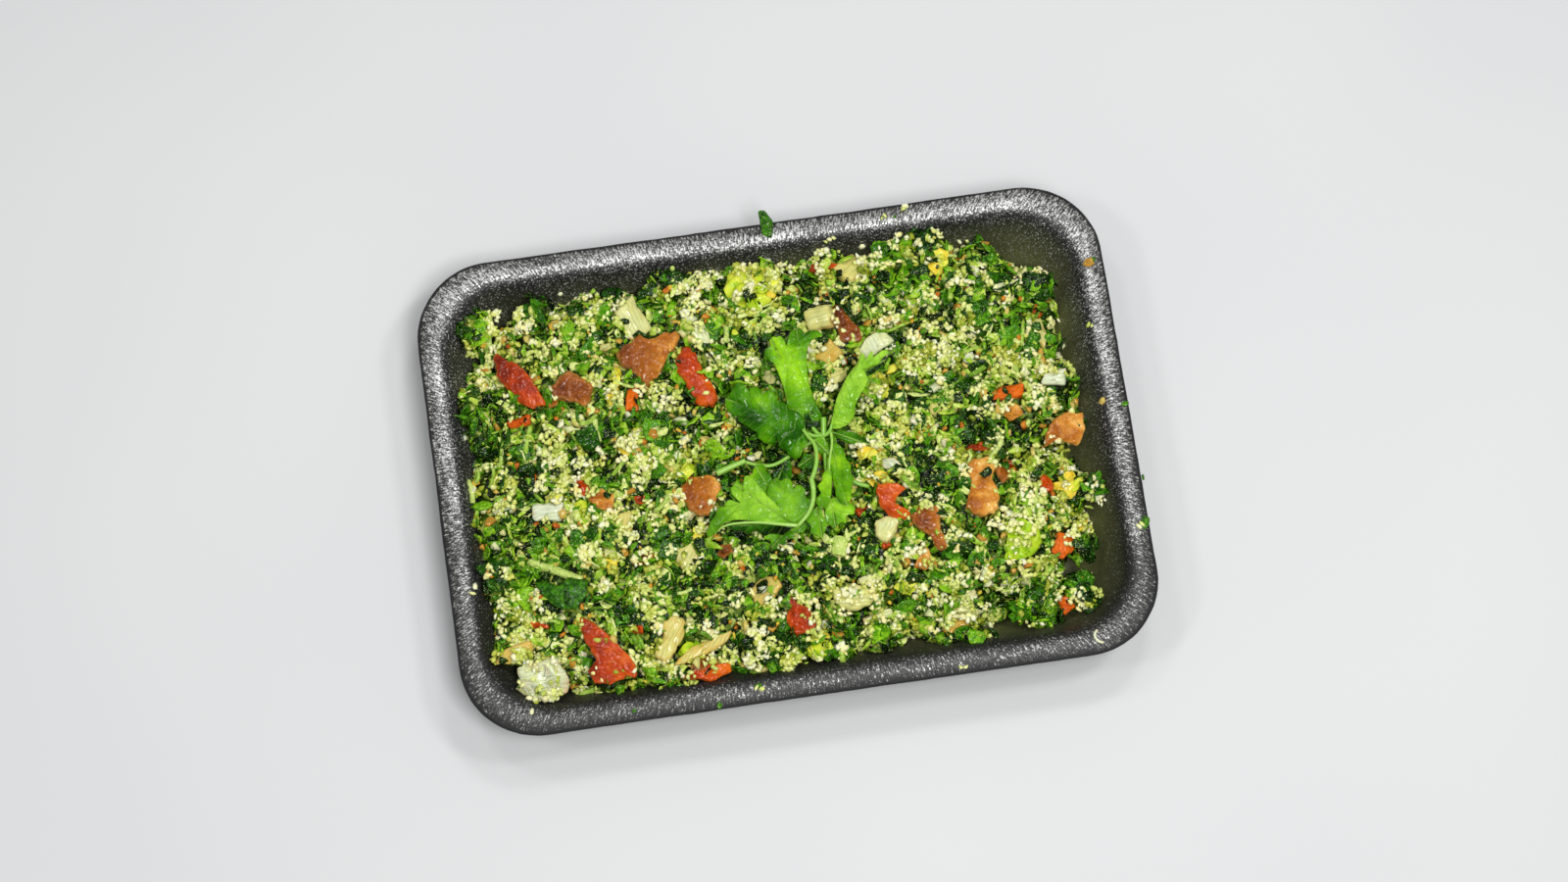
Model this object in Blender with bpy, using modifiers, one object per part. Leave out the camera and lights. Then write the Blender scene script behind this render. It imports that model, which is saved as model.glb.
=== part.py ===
"""A take-away portion of tabbouleh: a moulded foam tray, the chopped salad heaped in it and a parsley sprig on top.

Metres, +Z up. The origin is the middle of the tray's underside, +X runs along the tray's long side and the
tray stands on Z = 0. Three solids, none of which moves against another.
"""

import math

import bmesh
import bpy
from mathutils import Vector, noise

MM = 0.001

# Tray: outer size over the lip, and the shape of its wall in section
TRAY_LENGTH = 210 * MM
TRAY_WIDTH = 147 * MM
TRAY_HEIGHT = 25 * MM
FOAM = 3.5 * MM
LIP_RADIUS = 5.0 * MM
LIP_CENTRE = 4.5 * MM
LIP_FALL = math.radians(16)
WALL_SLOPE = math.radians(62)
FLOOR_FILLET = 6.0 * MM
RIM_CORNER = 23.6 * MM
FLOOR_CORNER = 16.0 * MM
CORNER_STEPS = 8

# Salad: how far the heap reaches on each side, and how high it stands
HEAP_LEFT = 93.0 * MM
HEAP_RIGHT = 88.0 * MM
HEAP_BACK = 61.0 * MM
HEAP_FRONT = 62.5 * MM
HEAP_FRONT_DRAWN_IN = 7.0 * MM
HEAP_BULGE = 0.06
HEAP_CORNER_CUT = 0.11
HEAP_CORNER_POWER = 5
HEAP_TOP = 27.0 * MM
HEAP_DOME = 2.5 * MM
HEAP_EDGE = 15.0 * MM
HEAP_OPEN_EDGE = 9.0 * MM
HEAP_SHOULDER = 0.80
LUMP_SIZE = 15.0 * MM
LUMP_HEIGHT = 2.6 * MM
EDGE_LUMP_SIZE = 19.0 * MM
EDGE_LUMP = 2.4 * MM
HEAP_CELLS = (32, 22)
CLEARANCE = 0.4 * MM
THINNEST_EDGE = 0.9 * MM

# Hollow in the heap that the sprig's stalks run down into
HOLLOW_CENTRE = (3 * MM, -5 * MM)
HOLLOW_RADIUS = 8 * MM
HOLLOW_DEPTH = 3.5 * MM

# Sprig: leaf blades, and the stalks that carry them
BLADE = 0.7 * MM
BLADE_RINGS = (0.1, 0.55, 1.0)
LEAF_ARCH = 0.15
STALK_RADIUS = 0.75 * MM
RIB_RADIUS = 0.7 * MM
RIB_SHARES = (-0.06, 0.25)


def clear_scene():
    """Removes what a new file starts with."""
    for obj in list(bpy.data.objects):
        bpy.data.objects.remove(obj)


def collection(name, shown=True):
    """A collection under the scene; a hidden one holds shapes that are only joined to others."""
    made = bpy.data.collections.new(name)
    bpy.context.scene.collection.children.link(made)
    made.hide_render = not shown
    return made


def material(name, colour, roughness, metallic=0.0):
    """A Principled BSDF in one linear colour."""
    made = bpy.data.materials.new(name)
    made.use_nodes = True
    shader = made.node_tree.nodes["Principled BSDF"]
    shader.inputs["Base Color"].default_value = (*colour, 1.0)
    shader.inputs["Roughness"].default_value = roughness
    shader.inputs["Metallic"].default_value = metallic
    return made


def add_object(name, mesh, finish, home):
    """Puts a mesh in the scene as a named object with one material."""
    obj = bpy.data.objects.new(name, mesh)
    obj.data.materials.append(finish)
    home.objects.link(obj)
    return obj


def smooth_step(edge0, edge1, value):
    """Rises from 0 at edge0 to 1 at edge1 with level ends."""
    share = min(1.0, max(0.0, (value - edge0) / (edge1 - edge0)))
    return share * share * (3 - 2 * share)


def arc(centre, radius, start, end, steps):
    """Points on an arc between two angles, both ends included."""
    angles = [start + (end - start) * i / steps for i in range(steps + 1)]
    return [(centre[0] + radius * math.cos(a), centre[1] + radius * math.sin(a)) for a in angles]


def tray_section():
    """The tray's inner face as (inset from the outer edge, height): lip, straight wall, floor fillet."""
    up = math.pi / 2
    lip_centre = (LIP_CENTRE, TRAY_HEIGHT - LIP_RADIUS)
    lip = arc(lip_centre, LIP_RADIUS, up + LIP_FALL, up - WALL_SLOPE, 6)
    lip_start, wall_top = lip[0], lip[-1]
    edge = (0.0, lip_start[1] - lip_start[0] * math.tan(LIP_FALL))
    wall_foot_height = FOAM + FLOOR_FILLET * (1 - math.cos(WALL_SLOPE))
    wall_foot = wall_top[0] + (wall_top[1] - wall_foot_height) / math.tan(WALL_SLOPE)
    fillet_centre = (wall_foot + FLOOR_FILLET * math.sin(WALL_SLOPE), FOAM + FLOOR_FILLET)
    fillet = arc(fillet_centre, FLOOR_FILLET, 3 * up - WALL_SLOPE, 3 * up, 4)
    return [edge, *lip, *fillet]


SECTION = tray_section()
FLOOR_INSET = SECTION[-1][0]


def corner_radius(inset):
    """The plan radius of the tray's corners at an inset: the wall's corners tighten towards the floor."""
    return RIM_CORNER + (FLOOR_CORNER - RIM_CORNER) * inset / FLOOR_INSET


def tray_ring(inset):
    """The tray's rounded outline at an inset from its outer edge, anticlockwise."""
    half_x, half_y, radius = TRAY_LENGTH / 2 - inset, TRAY_WIDTH / 2 - inset, corner_radius(inset)
    ring = []
    for quarter, (sign_x, sign_y) in enumerate(((1, 1), (-1, 1), (-1, -1), (1, -1))):
        centre = (sign_x * (half_x - radius), sign_y * (half_y - radius))
        start = quarter * math.pi / 2
        ring += arc(centre, radius, start, start + math.pi / 2, CORNER_STEPS)
    return ring


def build_tray(home):
    """Lofts the tray's inner face through its rings and gives it the foam's thickness underneath."""
    bm = bmesh.new()
    rings = [[bm.verts.new((x, y, height)) for x, y in tray_ring(inset)] for inset, height in SECTION]
    for outer, inner in zip(rings, rings[1:]):
        for i, first in enumerate(outer):
            second = (i + 1) % len(outer)
            bm.faces.new((first, outer[second], inner[second], inner[i]))
    bm.faces.new(rings[-1])
    mesh = bpy.data.meshes.new("tray")
    bm.to_mesh(mesh)
    bm.free()
    mesh.shade_smooth()
    tray = add_object("tray", mesh, material("black_foam", (0.035, 0.035, 0.037), 0.55), home)
    shell = tray.modifiers.new("foam", "SOLIDIFY")
    shell.thickness = FOAM
    shell.offset = -1
    shell.use_even_offset = True


def outside_ring(x, y, inset):
    """How far a point lies outside the tray's outline at an inset; negative inside."""
    radius = corner_radius(inset)
    over_x = abs(x) - (TRAY_LENGTH / 2 - inset - radius)
    over_y = abs(y) - (TRAY_WIDTH / 2 - inset - radius)
    return math.hypot(max(over_x, 0), max(over_y, 0)) + min(max(over_x, over_y), 0) - radius


def inset_at(x, y):
    """The inset of the ring of the tray that passes over a point."""
    if outside_ring(x, y, FLOOR_INSET) <= 0:
        return FLOOR_INSET
    low, high = 0.0, FLOOR_INSET
    for _ in range(30):
        middle = (low + high) / 2
        if outside_ring(x, y, middle) > 0:
            high = middle
        else:
            low = middle
    return low


def foam_height(x, y):
    """The height of the tray's inner face over a point of the plan."""
    inset = inset_at(x, y)
    for (inset0, height0), (inset1, height1) in zip(SECTION, SECTION[1:]):
        if inset <= inset1:
            return height0 + (height1 - height0) * (inset - inset0) / (inset1 - inset0)
    return SECTION[-1][1]


def lowest_salad(x, y):
    """Where the salad's underside lies: clear of the foam both inwards and upwards."""
    reach = 1 + CLEARANCE / max(math.hypot(x, y), CLEARANCE)
    return foam_height(x * reach, y * reach) + CLEARANCE


def heap_plan(u, v):
    """Maps the square -1..1 onto the heap's plan: sides bulged, corners rounded off and the edge uneven."""
    front = HEAP_FRONT - HEAP_FRONT_DRAWN_IN * smooth_step(-0.2, 0.8, u)
    corner = 1 - HEAP_CORNER_CUT * abs(u * v) ** HEAP_CORNER_POWER
    x = corner * u * (HEAP_RIGHT if u > 0 else HEAP_LEFT) * math.sqrt(1 - HEAP_BULGE * v * v)
    y = corner * v * (HEAP_BACK if v > 0 else front) * math.sqrt(1 - HEAP_BULGE * u * u)
    sway = noise.noise(Vector((x / EDGE_LUMP_SIZE, y / EDGE_LUMP_SIZE, 3.7)))
    spread = 1 + EDGE_LUMP * sway / max(math.hypot(x, y), EDGE_LUMP)
    return x * spread, y * spread


def heap_height(x, y, share):
    """The height of the heap's lumpy top, share being 0 at its middle and 1 at its edge."""
    lumps = noise.noise(Vector((x / LUMP_SIZE, y / LUMP_SIZE, 0.0)))
    lumps += 0.5 * noise.noise(Vector((2 * x / LUMP_SIZE, 2 * y / LUMP_SIZE, 5.0)))
    open_side = smooth_step(0.2, 0.9, x / HEAP_RIGHT) * smooth_step(0.5, -0.8, y / HEAP_BACK)
    edge = HEAP_EDGE + (HEAP_OPEN_EDGE - HEAP_EDGE) * open_side
    top = HEAP_TOP - HEAP_DOME * share * share
    fall = smooth_step(HEAP_SHOULDER, 1.0, share) ** 1.5
    away = math.hypot(x - HOLLOW_CENTRE[0], y - HOLLOW_CENTRE[1])
    hollow = HOLLOW_DEPTH * math.exp(-((away / HOLLOW_RADIUS) ** 2))
    return top + LUMP_HEIGHT * lumps - (top - edge) * fall - hollow


def build_salad(home):
    """A grid shaped into the heap's top, extruded down to an underside that follows the tray."""
    bm = bmesh.new()
    bmesh.ops.create_grid(bm, x_segments=HEAP_CELLS[0], y_segments=HEAP_CELLS[1], size=1.0)
    square = {vert: (vert.co.x, vert.co.y) for vert in bm.verts}
    for vert, (u, v) in square.items():
        x, y = heap_plan(u, v)
        height = heap_height(x, y, max(abs(u), abs(v)))
        vert.co = (x, y, max(height, lowest_salad(x, y) + THINNEST_EDGE))
    extruded = bmesh.ops.extrude_face_region(bm, geom=list(bm.faces))["geom"]
    for vert in extruded:
        if isinstance(vert, bmesh.types.BMVert):
            vert.co.z = lowest_salad(vert.co.x, vert.co.y)
    bmesh.ops.recalc_face_normals(bm, faces=list(bm.faces))
    mesh = bpy.data.meshes.new("salad")
    bm.to_mesh(mesh)
    bm.free()
    mesh.shade_smooth()
    add_object("salad", mesh, material("chopped_salad", (0.10, 0.17, 0.03), 0.5), home)


def blade_point(root, edge, share):
    """A point of a leaf: share is 0 at its root and 1 at its edge, and the blade arches over in between."""
    reach = Vector(edge) - Vector(root)
    arch = LEAF_ARCH * reach.length * share * (1 - share)
    return (Vector(root) + reach * share + Vector((0, 0, arch))) * MM


def leaf_blade(name, root, rim):
    """A lobed leaf as a thin closed blade, fanned out from its root to the tips and notches of its rim."""
    bm = bmesh.new()
    rings = [[bm.verts.new(blade_point(root, edge, share)) for edge in rim] for share in BLADE_RINGS]
    for inner, outer in zip(rings, rings[1:]):
        for i in range(len(rim) - 1):
            bm.faces.new((inner[i], outer[i], outer[i + 1], inner[i + 1]))
    bmesh.ops.triangulate(bm, faces=list(bm.faces))
    mesh = bpy.data.meshes.new(name)
    bm.to_mesh(mesh)
    bm.free()
    blade = bpy.data.objects.new(name, mesh)
    thick = blade.modifiers.new("blade", "SOLIDIFY")
    thick.thickness = BLADE
    thick.offset = 0
    return blade


def leaf_rib(root, rim):
    """The route of a leaf's stalk, from just before its root out along the middle of the blade."""
    middle = sum((Vector(edge) for edge in rim), Vector()) / len(rim)
    return [blade_point(root, middle, share) for share in RIB_SHARES]


def stalk(name, route, radius):
    """A round stalk along a smooth curve through the route's points, as a closed mesh."""
    curve = bpy.data.curves.new(name, "CURVE")
    curve.dimensions = "3D"
    curve.bevel_depth = radius
    curve.bevel_resolution = 1
    curve.resolution_u = 3
    curve.use_fill_caps = True
    spline = curve.splines.new("BEZIER")
    spline.bezier_points.add(len(route) - 1)
    for point, place in zip(spline.bezier_points, route):
        point.co = place
        point.handle_left_type = point.handle_right_type = "AUTO"
    drawn = bpy.data.objects.new(name + "_route", curve)
    bpy.context.scene.collection.objects.link(drawn)
    graph = bpy.context.evaluated_depsgraph_get()
    mesh = bpy.data.meshes.new_from_object(drawn.evaluated_get(graph))
    bpy.data.objects.remove(drawn)
    bm = bmesh.new()
    bm.from_mesh(mesh)
    bmesh.ops.remove_doubles(bm, verts=list(bm.verts), dist=0.01 * MM)
    bmesh.ops.recalc_face_normals(bm, faces=list(bm.faces))
    bm.to_mesh(mesh)
    bm.free()
    return bpy.data.objects.new(name, mesh)


# Each leaf's root, then the tips and notches of its rim in turn, in millimetres
LEAVES = {
    "back": (
        (9, 6.5, 29.5),
        (
            (11.7, 11.1, 30.5), (9.7, 18.8, 33), (11.8, 28.6, 35), (16.3, 32.2, 32.5), (9.6, 33.2, 36),
            (6.3, 29.7, 36.3), (1.4, 31.3, 36), (-1, 27.5, 36), (2, 18.7, 34), (3.1, 12.4, 32),
        ),
    ),
    "left": (
        (6.9, 4.5, 31.5),
        (
            (6.6, 8, 33), (-1.1, 14.3, 35), (-4.6, 17, 35.5), (-6.8, 16.8, 35.2), (-10.8, 18.5, 35.5),
            (-15, 14.6, 34), (-14.4, 10.7, 33), (-5.9, 5.2, 31), (-4.7, 3.2, 31), (0, 1.6, 30.5),
            (2.7, -1.9, 30), (5.7, 0.3, 30.5),
        ),
    ),
    "right": (
        (13.9, 4.1, 30.5),
        (
            (20.1, 4.6, 31), (22.9, 6.7, 32), (23.4, 10.5, 34), (26.9, 14.5, 36), (34.2, 21.8, 36.5),
            (29, 20.3, 37.5), (26.1, 22.3, 38), (21.4, 16.8, 36), (17, 11.9, 34),
        ),
    ),
    "front_left": (
        (0, -24.4, 34.5),
        (
            (-3.6, -18.9, 34), (-10.8, -8.8, 32.5), (-13.9, -7.9, 32.5), (-17.3, -13.7, 32.3),
            (-22.5, -13.3, 31.5), (-24.4, -20.1, 32.6), (-26.4, -21.7, 31.5), (-16.3, -23.1, 30),
            (-10.3, -25.5, 30), (-5, -25.4, 31),
        ),
    ),
    "front": (
        (6, -16.6, 32.5),
        (
            (4.2, -13.2, 32), (2.4, -11.8, 32), (0.3, -9.2, 31.5), (-4.5, -8.8, 30.5), (-7, -14, 30),
            (-6.3, -21.3, 29.5), (-9.8, -25.1, 29), (-7.4, -28.8, 29), (-0.4, -27.8, 29.5), (2.9, -24.8, 30),
        ),
    ),
    "front_right": (
        (15, 1.7, 31.5),
        (
            (13.6, -2.5, 31), (13.2, -10.4, 30.5), (14, -16, 30.5), (16.7, -17.8, 30), (18.3, -11.6, 32.5),
            (18.3, -6.7, 33), (16.6, -1.8, 32.5),
        ),
    ),
    "low_front": (
        (11.2, -13.8, 29.2),
        (
            (8.3, -18.3, 29), (9.7, -20.8, 29), (10.5, -23.5, 29), (13.3, -24.1, 29), (14.9, -21.7, 29),
            (17, -21, 29), (17.1, -18.2, 29), (17.3, -15.7, 29),
        ),
    ),
}

# The stalks' routes, in millimetres
STALKS = {
    "main": ((-20.8, -2.9, 28.4), (-12.2, -1.1, 29.3), (-4, -2.5, 29.5), (5, 0.5, 29.5), (11.5, 3, 30.3)),
    "crown": ((9.1, 6.4, 29.5), (10.4, 4.2, 29.9), (12, 3, 30.2), (14, 3.9, 30.8), (15.1, 1.9, 31.5)),
    "left": ((11.8, 3.1, 30.2), (9.4, 3.6, 30.8), (6.9, 4.6, 31.6)),
    "long": (
        (6, 6, 31.9), (7.9, 3.6, 32.4), (9.7, -0.9, 33), (9.4, -4.5, 33.5), (7.2, -9.3, 34), (5.6, -11.6, 34),
        (5.9, -16.5, 33.3), (3.4, -21.3, 34), (-0.5, -24.4, 34.6),
    ),
    "side": ((11.5, 3, 30.2), (13.5, -4, 29.6), (18.4, -11.4, 29.3), (23.2, -13.9, 28.6)),
    "front": ((11.5, 3, 30.2), (11.6, -3, 29.6), (11.2, -9, 29.3), (11.2, -14.5, 29.2)),
}


def build_sprig(home, joined):
    """Joins the blades and stalks into one solid, starting from the main stalk."""
    green = material("parsley", (0.12, 0.33, 0.02), 0.4)
    tubes = {}
    for name, route in STALKS.items():
        tubes[name] = stalk("stalk_" + name, [Vector(point) * MM for point in route], STALK_RADIUS)
    sprig = tubes.pop("main")
    pieces = list(tubes.values())
    for name, (root, rim) in LEAVES.items():
        pieces.append(stalk("rib_" + name, leaf_rib(root, rim), RIB_RADIUS))
        pieces.append(leaf_blade("leaf_" + name, root, rim))
    sprig.name = "parsley_sprig"
    sprig.data.materials.clear()
    sprig.data.materials.append(green)
    home.objects.link(sprig)
    for piece in pieces:
        piece.display_type = "WIRE"
        piece.hide_render = True
        joined.objects.link(piece)
        union = sprig.modifiers.new(piece.name, "BOOLEAN")
        union.operation = "UNION"
        union.object = piece
        union.solver = "MANIFOLD"


def main():
    """Builds the tray of tabbouleh."""
    clear_scene()
    home = collection("tabbouleh_tray")
    joined = collection("joined_shapes", shown=False)
    build_tray(home)
    build_salad(home)
    build_sprig(home, joined)


main()
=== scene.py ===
import math

import bmesh
import bpy
import numpy as np
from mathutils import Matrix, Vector, noise
from mathutils.bvhtree import BVHTree


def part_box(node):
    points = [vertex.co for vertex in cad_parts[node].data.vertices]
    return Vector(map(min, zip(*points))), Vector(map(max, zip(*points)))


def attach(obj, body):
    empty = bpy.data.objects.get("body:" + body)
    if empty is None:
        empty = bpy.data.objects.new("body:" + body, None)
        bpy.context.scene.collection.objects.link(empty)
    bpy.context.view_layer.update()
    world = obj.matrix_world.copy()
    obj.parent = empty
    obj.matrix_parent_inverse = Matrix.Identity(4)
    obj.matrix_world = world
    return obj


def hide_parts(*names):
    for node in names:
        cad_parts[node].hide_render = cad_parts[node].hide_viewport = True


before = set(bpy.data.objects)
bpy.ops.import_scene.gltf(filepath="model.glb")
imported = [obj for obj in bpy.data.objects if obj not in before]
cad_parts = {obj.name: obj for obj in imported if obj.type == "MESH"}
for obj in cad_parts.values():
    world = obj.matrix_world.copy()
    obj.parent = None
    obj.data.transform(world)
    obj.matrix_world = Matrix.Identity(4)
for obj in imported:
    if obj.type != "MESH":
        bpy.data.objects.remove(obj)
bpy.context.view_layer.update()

# The looks of a take-away portion of tabbouleh. The foam tray, the heap and the sprig keep the places that
# the frame gives them: the tray is drawn finer, the heap becomes a clumpy core with the real chopped
# ingredients strewn and laid on it, and the sprig gets its real leaves. Lengths named below are in
# millimetres, and every mesh is in metres.

MM = 0.001
BODY = "root"


# ------------------------------------------------------------------ making pieces and materials

def linear(code):
    """A colour written as sRGB hex, such as "#4b850a", as linear RGBA."""
    parts = [int(code[i:i + 2], 16) / 255 for i in (1, 3, 5)]
    return (*(c / 12.92 if c <= 0.04045 else ((c + 0.055) / 1.055) ** 2.4 for c in parts), 1.0)


def node(tree, kind, inputs=None, stops=(), **settings):
    """Adds a shader node with its settings, its sockets' values or links, and a ramp's (place, hex) stops."""
    made = tree.nodes.new("ShaderNode" + kind)
    for name, value in settings.items():
        setattr(made, name, value)
    for name, value in (inputs or {}).items():
        if isinstance(value, bpy.types.NodeSocket):
            tree.links.new(value, made.inputs[name])
        else:
            made.inputs[name].default_value = value
    for i, (place, colour) in enumerate(stops):
        element = made.color_ramp.elements[i] if i < 2 else made.color_ramp.elements.new(place)
        element.position = place
        element.color = linear(colour)
    return made


def new_finish(name, sockets):
    """A material with one Principled shader, and the values that are the same all over it."""
    finish = bpy.data.materials.new(name)
    finish.use_nodes = True
    tree = finish.node_tree
    shader = tree.nodes["Principled BSDF"]
    for socket, value in sockets.items():
        shader.inputs[socket].default_value = value
    return finish, tree, shader


def add_piece(name, points, faces, finish, marks=None, smooth=True):
    """A piece of the portion from arrays: points in metres, triangles or quads, and marks on its points."""
    faces = np.asarray(faces)
    mesh = bpy.data.meshes.new(name)
    mesh.vertices.add(len(points))
    mesh.vertices.foreach_set("co", np.asarray(points, np.float32).ravel())
    mesh.loops.add(faces.size)
    mesh.loops.foreach_set("vertex_index", faces.ravel().astype(np.int32))
    mesh.polygons.add(len(faces))
    mesh.polygons.foreach_set("loop_start", np.arange(0, faces.size, faces.shape[1], dtype=np.int32))
    mesh.polygons.foreach_set("use_smooth", np.full(len(faces), smooth))
    for mark, values in (marks or {}).items():
        layer = mesh.attributes.new(mark, "FLOAT", "POINT")
        layer.data.foreach_set("value", np.asarray(values, np.float32))
    mesh.update(calc_edges=True)
    mesh.validate()
    mesh.materials.append(finish)
    made = bpy.data.objects.new(name, mesh)
    bpy.context.scene.collection.objects.link(made)
    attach(made, BODY)
    return made


def joined(parts):
    """Several (points, faces, marks) as one, the faces renumbered."""
    points = np.concatenate([part[0] for part in parts])
    starts = np.cumsum([0] + [len(part[0]) for part in parts[:-1]])
    faces = np.concatenate([part[1] + start for part, start in zip(parts, starts)])
    marks = {mark: np.concatenate([part[2][mark] for part in parts]) for mark in parts[0][2]}
    return points, faces, marks


def unit(vectors):
    """The same directions with length 1."""
    return vectors / np.maximum(np.linalg.norm(vectors, axis=-1, keepdims=True), 1e-12)


def wobble(points, size, seed=0.0):
    """Smooth noise of about -1 to 1 at each point, its lumps `size` across, in the points' own units."""
    shift = Vector((seed * 7.3, seed * 3.1, seed * 5.7))
    return np.array([noise.noise(Vector(p) / size + shift) for p in points])


def rise(low, high, value):
    """Goes from 0 at low to 1 at high with level ends."""
    share = np.clip((value - low) / (high - low), 0, 1)
    return share * share * (3 - 2 * share)


def smooth_route(route, steps):
    """Points along a smooth curve through a route's points, `steps` to each stretch."""
    route = np.asarray(route, float)
    padded = np.vstack([2 * route[0] - route[1], route, 2 * route[-1] - route[-2]])
    t = np.linspace(0, 1, steps, endpoint=False)[:, None]
    runs = []
    for a, b, c, d in zip(padded, padded[1:], padded[2:], padded[3:]):
        bend = (2 * a - 5 * b + 4 * c - d) * t ** 2 + (3 * b - a - 3 * c + d) * t ** 3
        runs.append(b + 0.5 * ((c - a) * t + bend))
    return np.vstack([*runs, route[-1:]])


# ------------------------------------------------------------------ the foam tray

FOAM = 3.5
LIP_RADIUS = 5.0
LIP_CENTRE = 4.5
LIP_FALL = math.radians(16)
WALL_SLOPE = math.radians(62)
FLOOR_FILLET = 6.0
RIM_CORNER = 23.6
FLOOR_CORNER = 16.0
CUT_EDGE_ROUND = 0.7
CORNER_STEPS = 22
SIDE_STEP = 2.4


def arc(centre, radius, start, end, steps):
    """Points on an arc between two angles, both ends included."""
    angles = np.linspace(start, end, steps + 1)
    return [(centre[0] + radius * math.cos(a), centre[1] + radius * math.sin(a)) for a in angles]


def tray_section(low, height):
    """The tray's section as (inset, height) out over the lip and back under, its floor inset and its edge's index."""
    up = math.pi / 2
    lip = (LIP_CENTRE, height - LIP_RADIUS)
    lip_inside = arc(lip, LIP_RADIUS, up - WALL_SLOPE, up + LIP_FALL, 12)
    lip_outside = arc(lip, LIP_RADIUS - FOAM, up + LIP_FALL, up - WALL_SLOPE, 6)
    fall = np.array((-math.cos(LIP_FALL), -math.sin(LIP_FALL)))
    square = np.array((math.sin(LIP_FALL), -math.cos(LIP_FALL)))
    top = np.array(lip_inside[-1])
    edge = top + fall * top[0] / math.cos(LIP_FALL)
    under = edge + square * FOAM
    nick = CUT_EDGE_ROUND
    cut = [edge - fall * nick, edge - fall * 0.3 * nick + square * 0.3 * nick, edge + square * nick]
    cut += [under - square * nick, under - fall * 0.3 * nick - square * 0.3 * nick, under - fall * nick]
    foot = FOAM + FLOOR_FILLET * (1 - math.cos(WALL_SLOPE))
    wall_foot = lip_inside[0][0] + (lip_inside[0][1] - foot) / math.tan(WALL_SLOPE)
    centre = (wall_foot + FLOOR_FILLET * math.sin(WALL_SLOPE), FOAM + FLOOR_FILLET)
    inside = arc(centre, FLOOR_FILLET, 3 * up, 3 * up - WALL_SLOPE, 7)
    outside = arc(centre, FLOOR_FILLET + FOAM, 3 * up - WALL_SLOPE, 3 * up, 7)
    wall_in = [tuple(np.array(inside[-1]) + (np.array(lip_inside[0]) - inside[-1]) * s) for s in (0.25, 0.5, 0.75)]
    wall_out = [tuple(np.array(lip_outside[-1]) + (np.array(outside[0]) - lip_outside[-1]) * s) for s in (0.33, 0.67)]
    section = [*inside, *wall_in, *lip_inside, *map(tuple, cut), *lip_outside, *wall_out, *outside]
    rim = len(inside) + len(wall_in) + len(lip_inside)
    return [(inset, z + low) for inset, z in section], centre[0], rim


def tray_ring(inset, floor_inset, half_length, half_width):
    """The tray's rounded outline at an inset from its edge, anticlockwise, the corners tighter towards the floor."""
    radius = RIM_CORNER + (FLOOR_CORNER - RIM_CORNER) * inset / floor_inset
    corners = []
    for quarter, (sign_x, sign_y) in enumerate(((1, 1), (-1, 1), (-1, -1), (1, -1))):
        centre = (sign_x * (half_length - inset - radius), sign_y * (half_width - inset - radius))
        start = quarter * math.pi / 2
        corners.append(np.array(arc(centre, radius, start, start + math.pi / 2, CORNER_STEPS)))
    runs = []
    for quarter, corner in enumerate(corners):
        straight = (half_length if quarter in (0, 2) else half_width) - RIM_CORNER
        shares = np.arange(1, round(2 * straight / SIDE_STEP)) / round(2 * straight / SIDE_STEP)
        onwards = corners[(quarter + 1) % 4][0] - corner[-1]
        runs += [corner, corner[-1] + shares[:, None] * onwards]
    return np.concatenate(runs)


def build_tray():
    """Lofts the tray's section round its outline, with the foam's slight waviness and its knife-cut edge."""
    low, high = (np.array(corner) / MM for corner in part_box("tray"))
    half = (high - low) / 2
    section, floor_inset, rim = tray_section(low[2], half[2] * 2)
    rings = [tray_ring(inset, floor_inset, half[0], half[1]) for inset, _ in section]
    points = np.concatenate([np.column_stack([ring, np.full(len(ring), z)]) for ring, (_, z) in zip(rings, section)])
    around = len(rings[0])
    edge = np.vstack([rings[rim], rings[rim][:1]])
    along = np.concatenate([[0], np.cumsum(np.linalg.norm(np.diff(edge, axis=0), axis=1))[:-1]])
    steps = np.linalg.norm(np.diff(np.array(section), axis=0), axis=1)
    across = np.concatenate([[0], np.cumsum(steps)])
    centre = (low + high)[:2] / 2
    outwards = unit(np.column_stack([points[:, :2], np.zeros(len(points))]))
    waves = 0.14 * wobble(points, 9.0, 1) + 0.10 * wobble(points, 2.6, 2)
    points += outwards * (waves - 0.25)[:, None]
    points[:, 2] += 0.12 * wobble(points, 14.0, 3) * (points[:, 2] > low[2] + FOAM)
    points[:, :2] += centre
    faces = []
    for row in range(len(section) - 1):
        here = row * around + np.arange(around)
        beyond = row * around + (np.arange(around) + 1) % around
        faces.append(np.column_stack([beyond, here, here + around, beyond + around]))
    from_edge = np.abs(across - across[rim + 1])
    marks = {"along": np.tile(along, len(section)) * MM, "across": np.repeat(across, around) * MM}
    marks["from_edge"] = np.repeat(from_edge, around) * MM
    marks["inside"] = np.repeat((np.arange(len(section)) < rim).astype(float), around)
    tray = add_piece("foam_tray", points * MM, np.concatenate(faces), black_foam(), marks)
    close_ends(tray.data, around, len(points))
    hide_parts("tray")
    return tray


def close_ends(mesh, around, total):
    """Fills the tray's floor and its underside, the two open ends of the loft."""
    filled = bmesh.new()
    filled.from_mesh(mesh)
    filled.verts.ensure_lookup_table()
    top = filled.faces.new([filled.verts[i] for i in range(around)])
    bottom = filled.faces.new([filled.verts[i] for i in range(total - 1, total - 1 - around, -1)])
    top.smooth = bottom.smooth = True
    bmesh.ops.recalc_face_normals(filled, faces=list(filled.faces))
    filled.to_mesh(mesh)
    filled.free()


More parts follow.
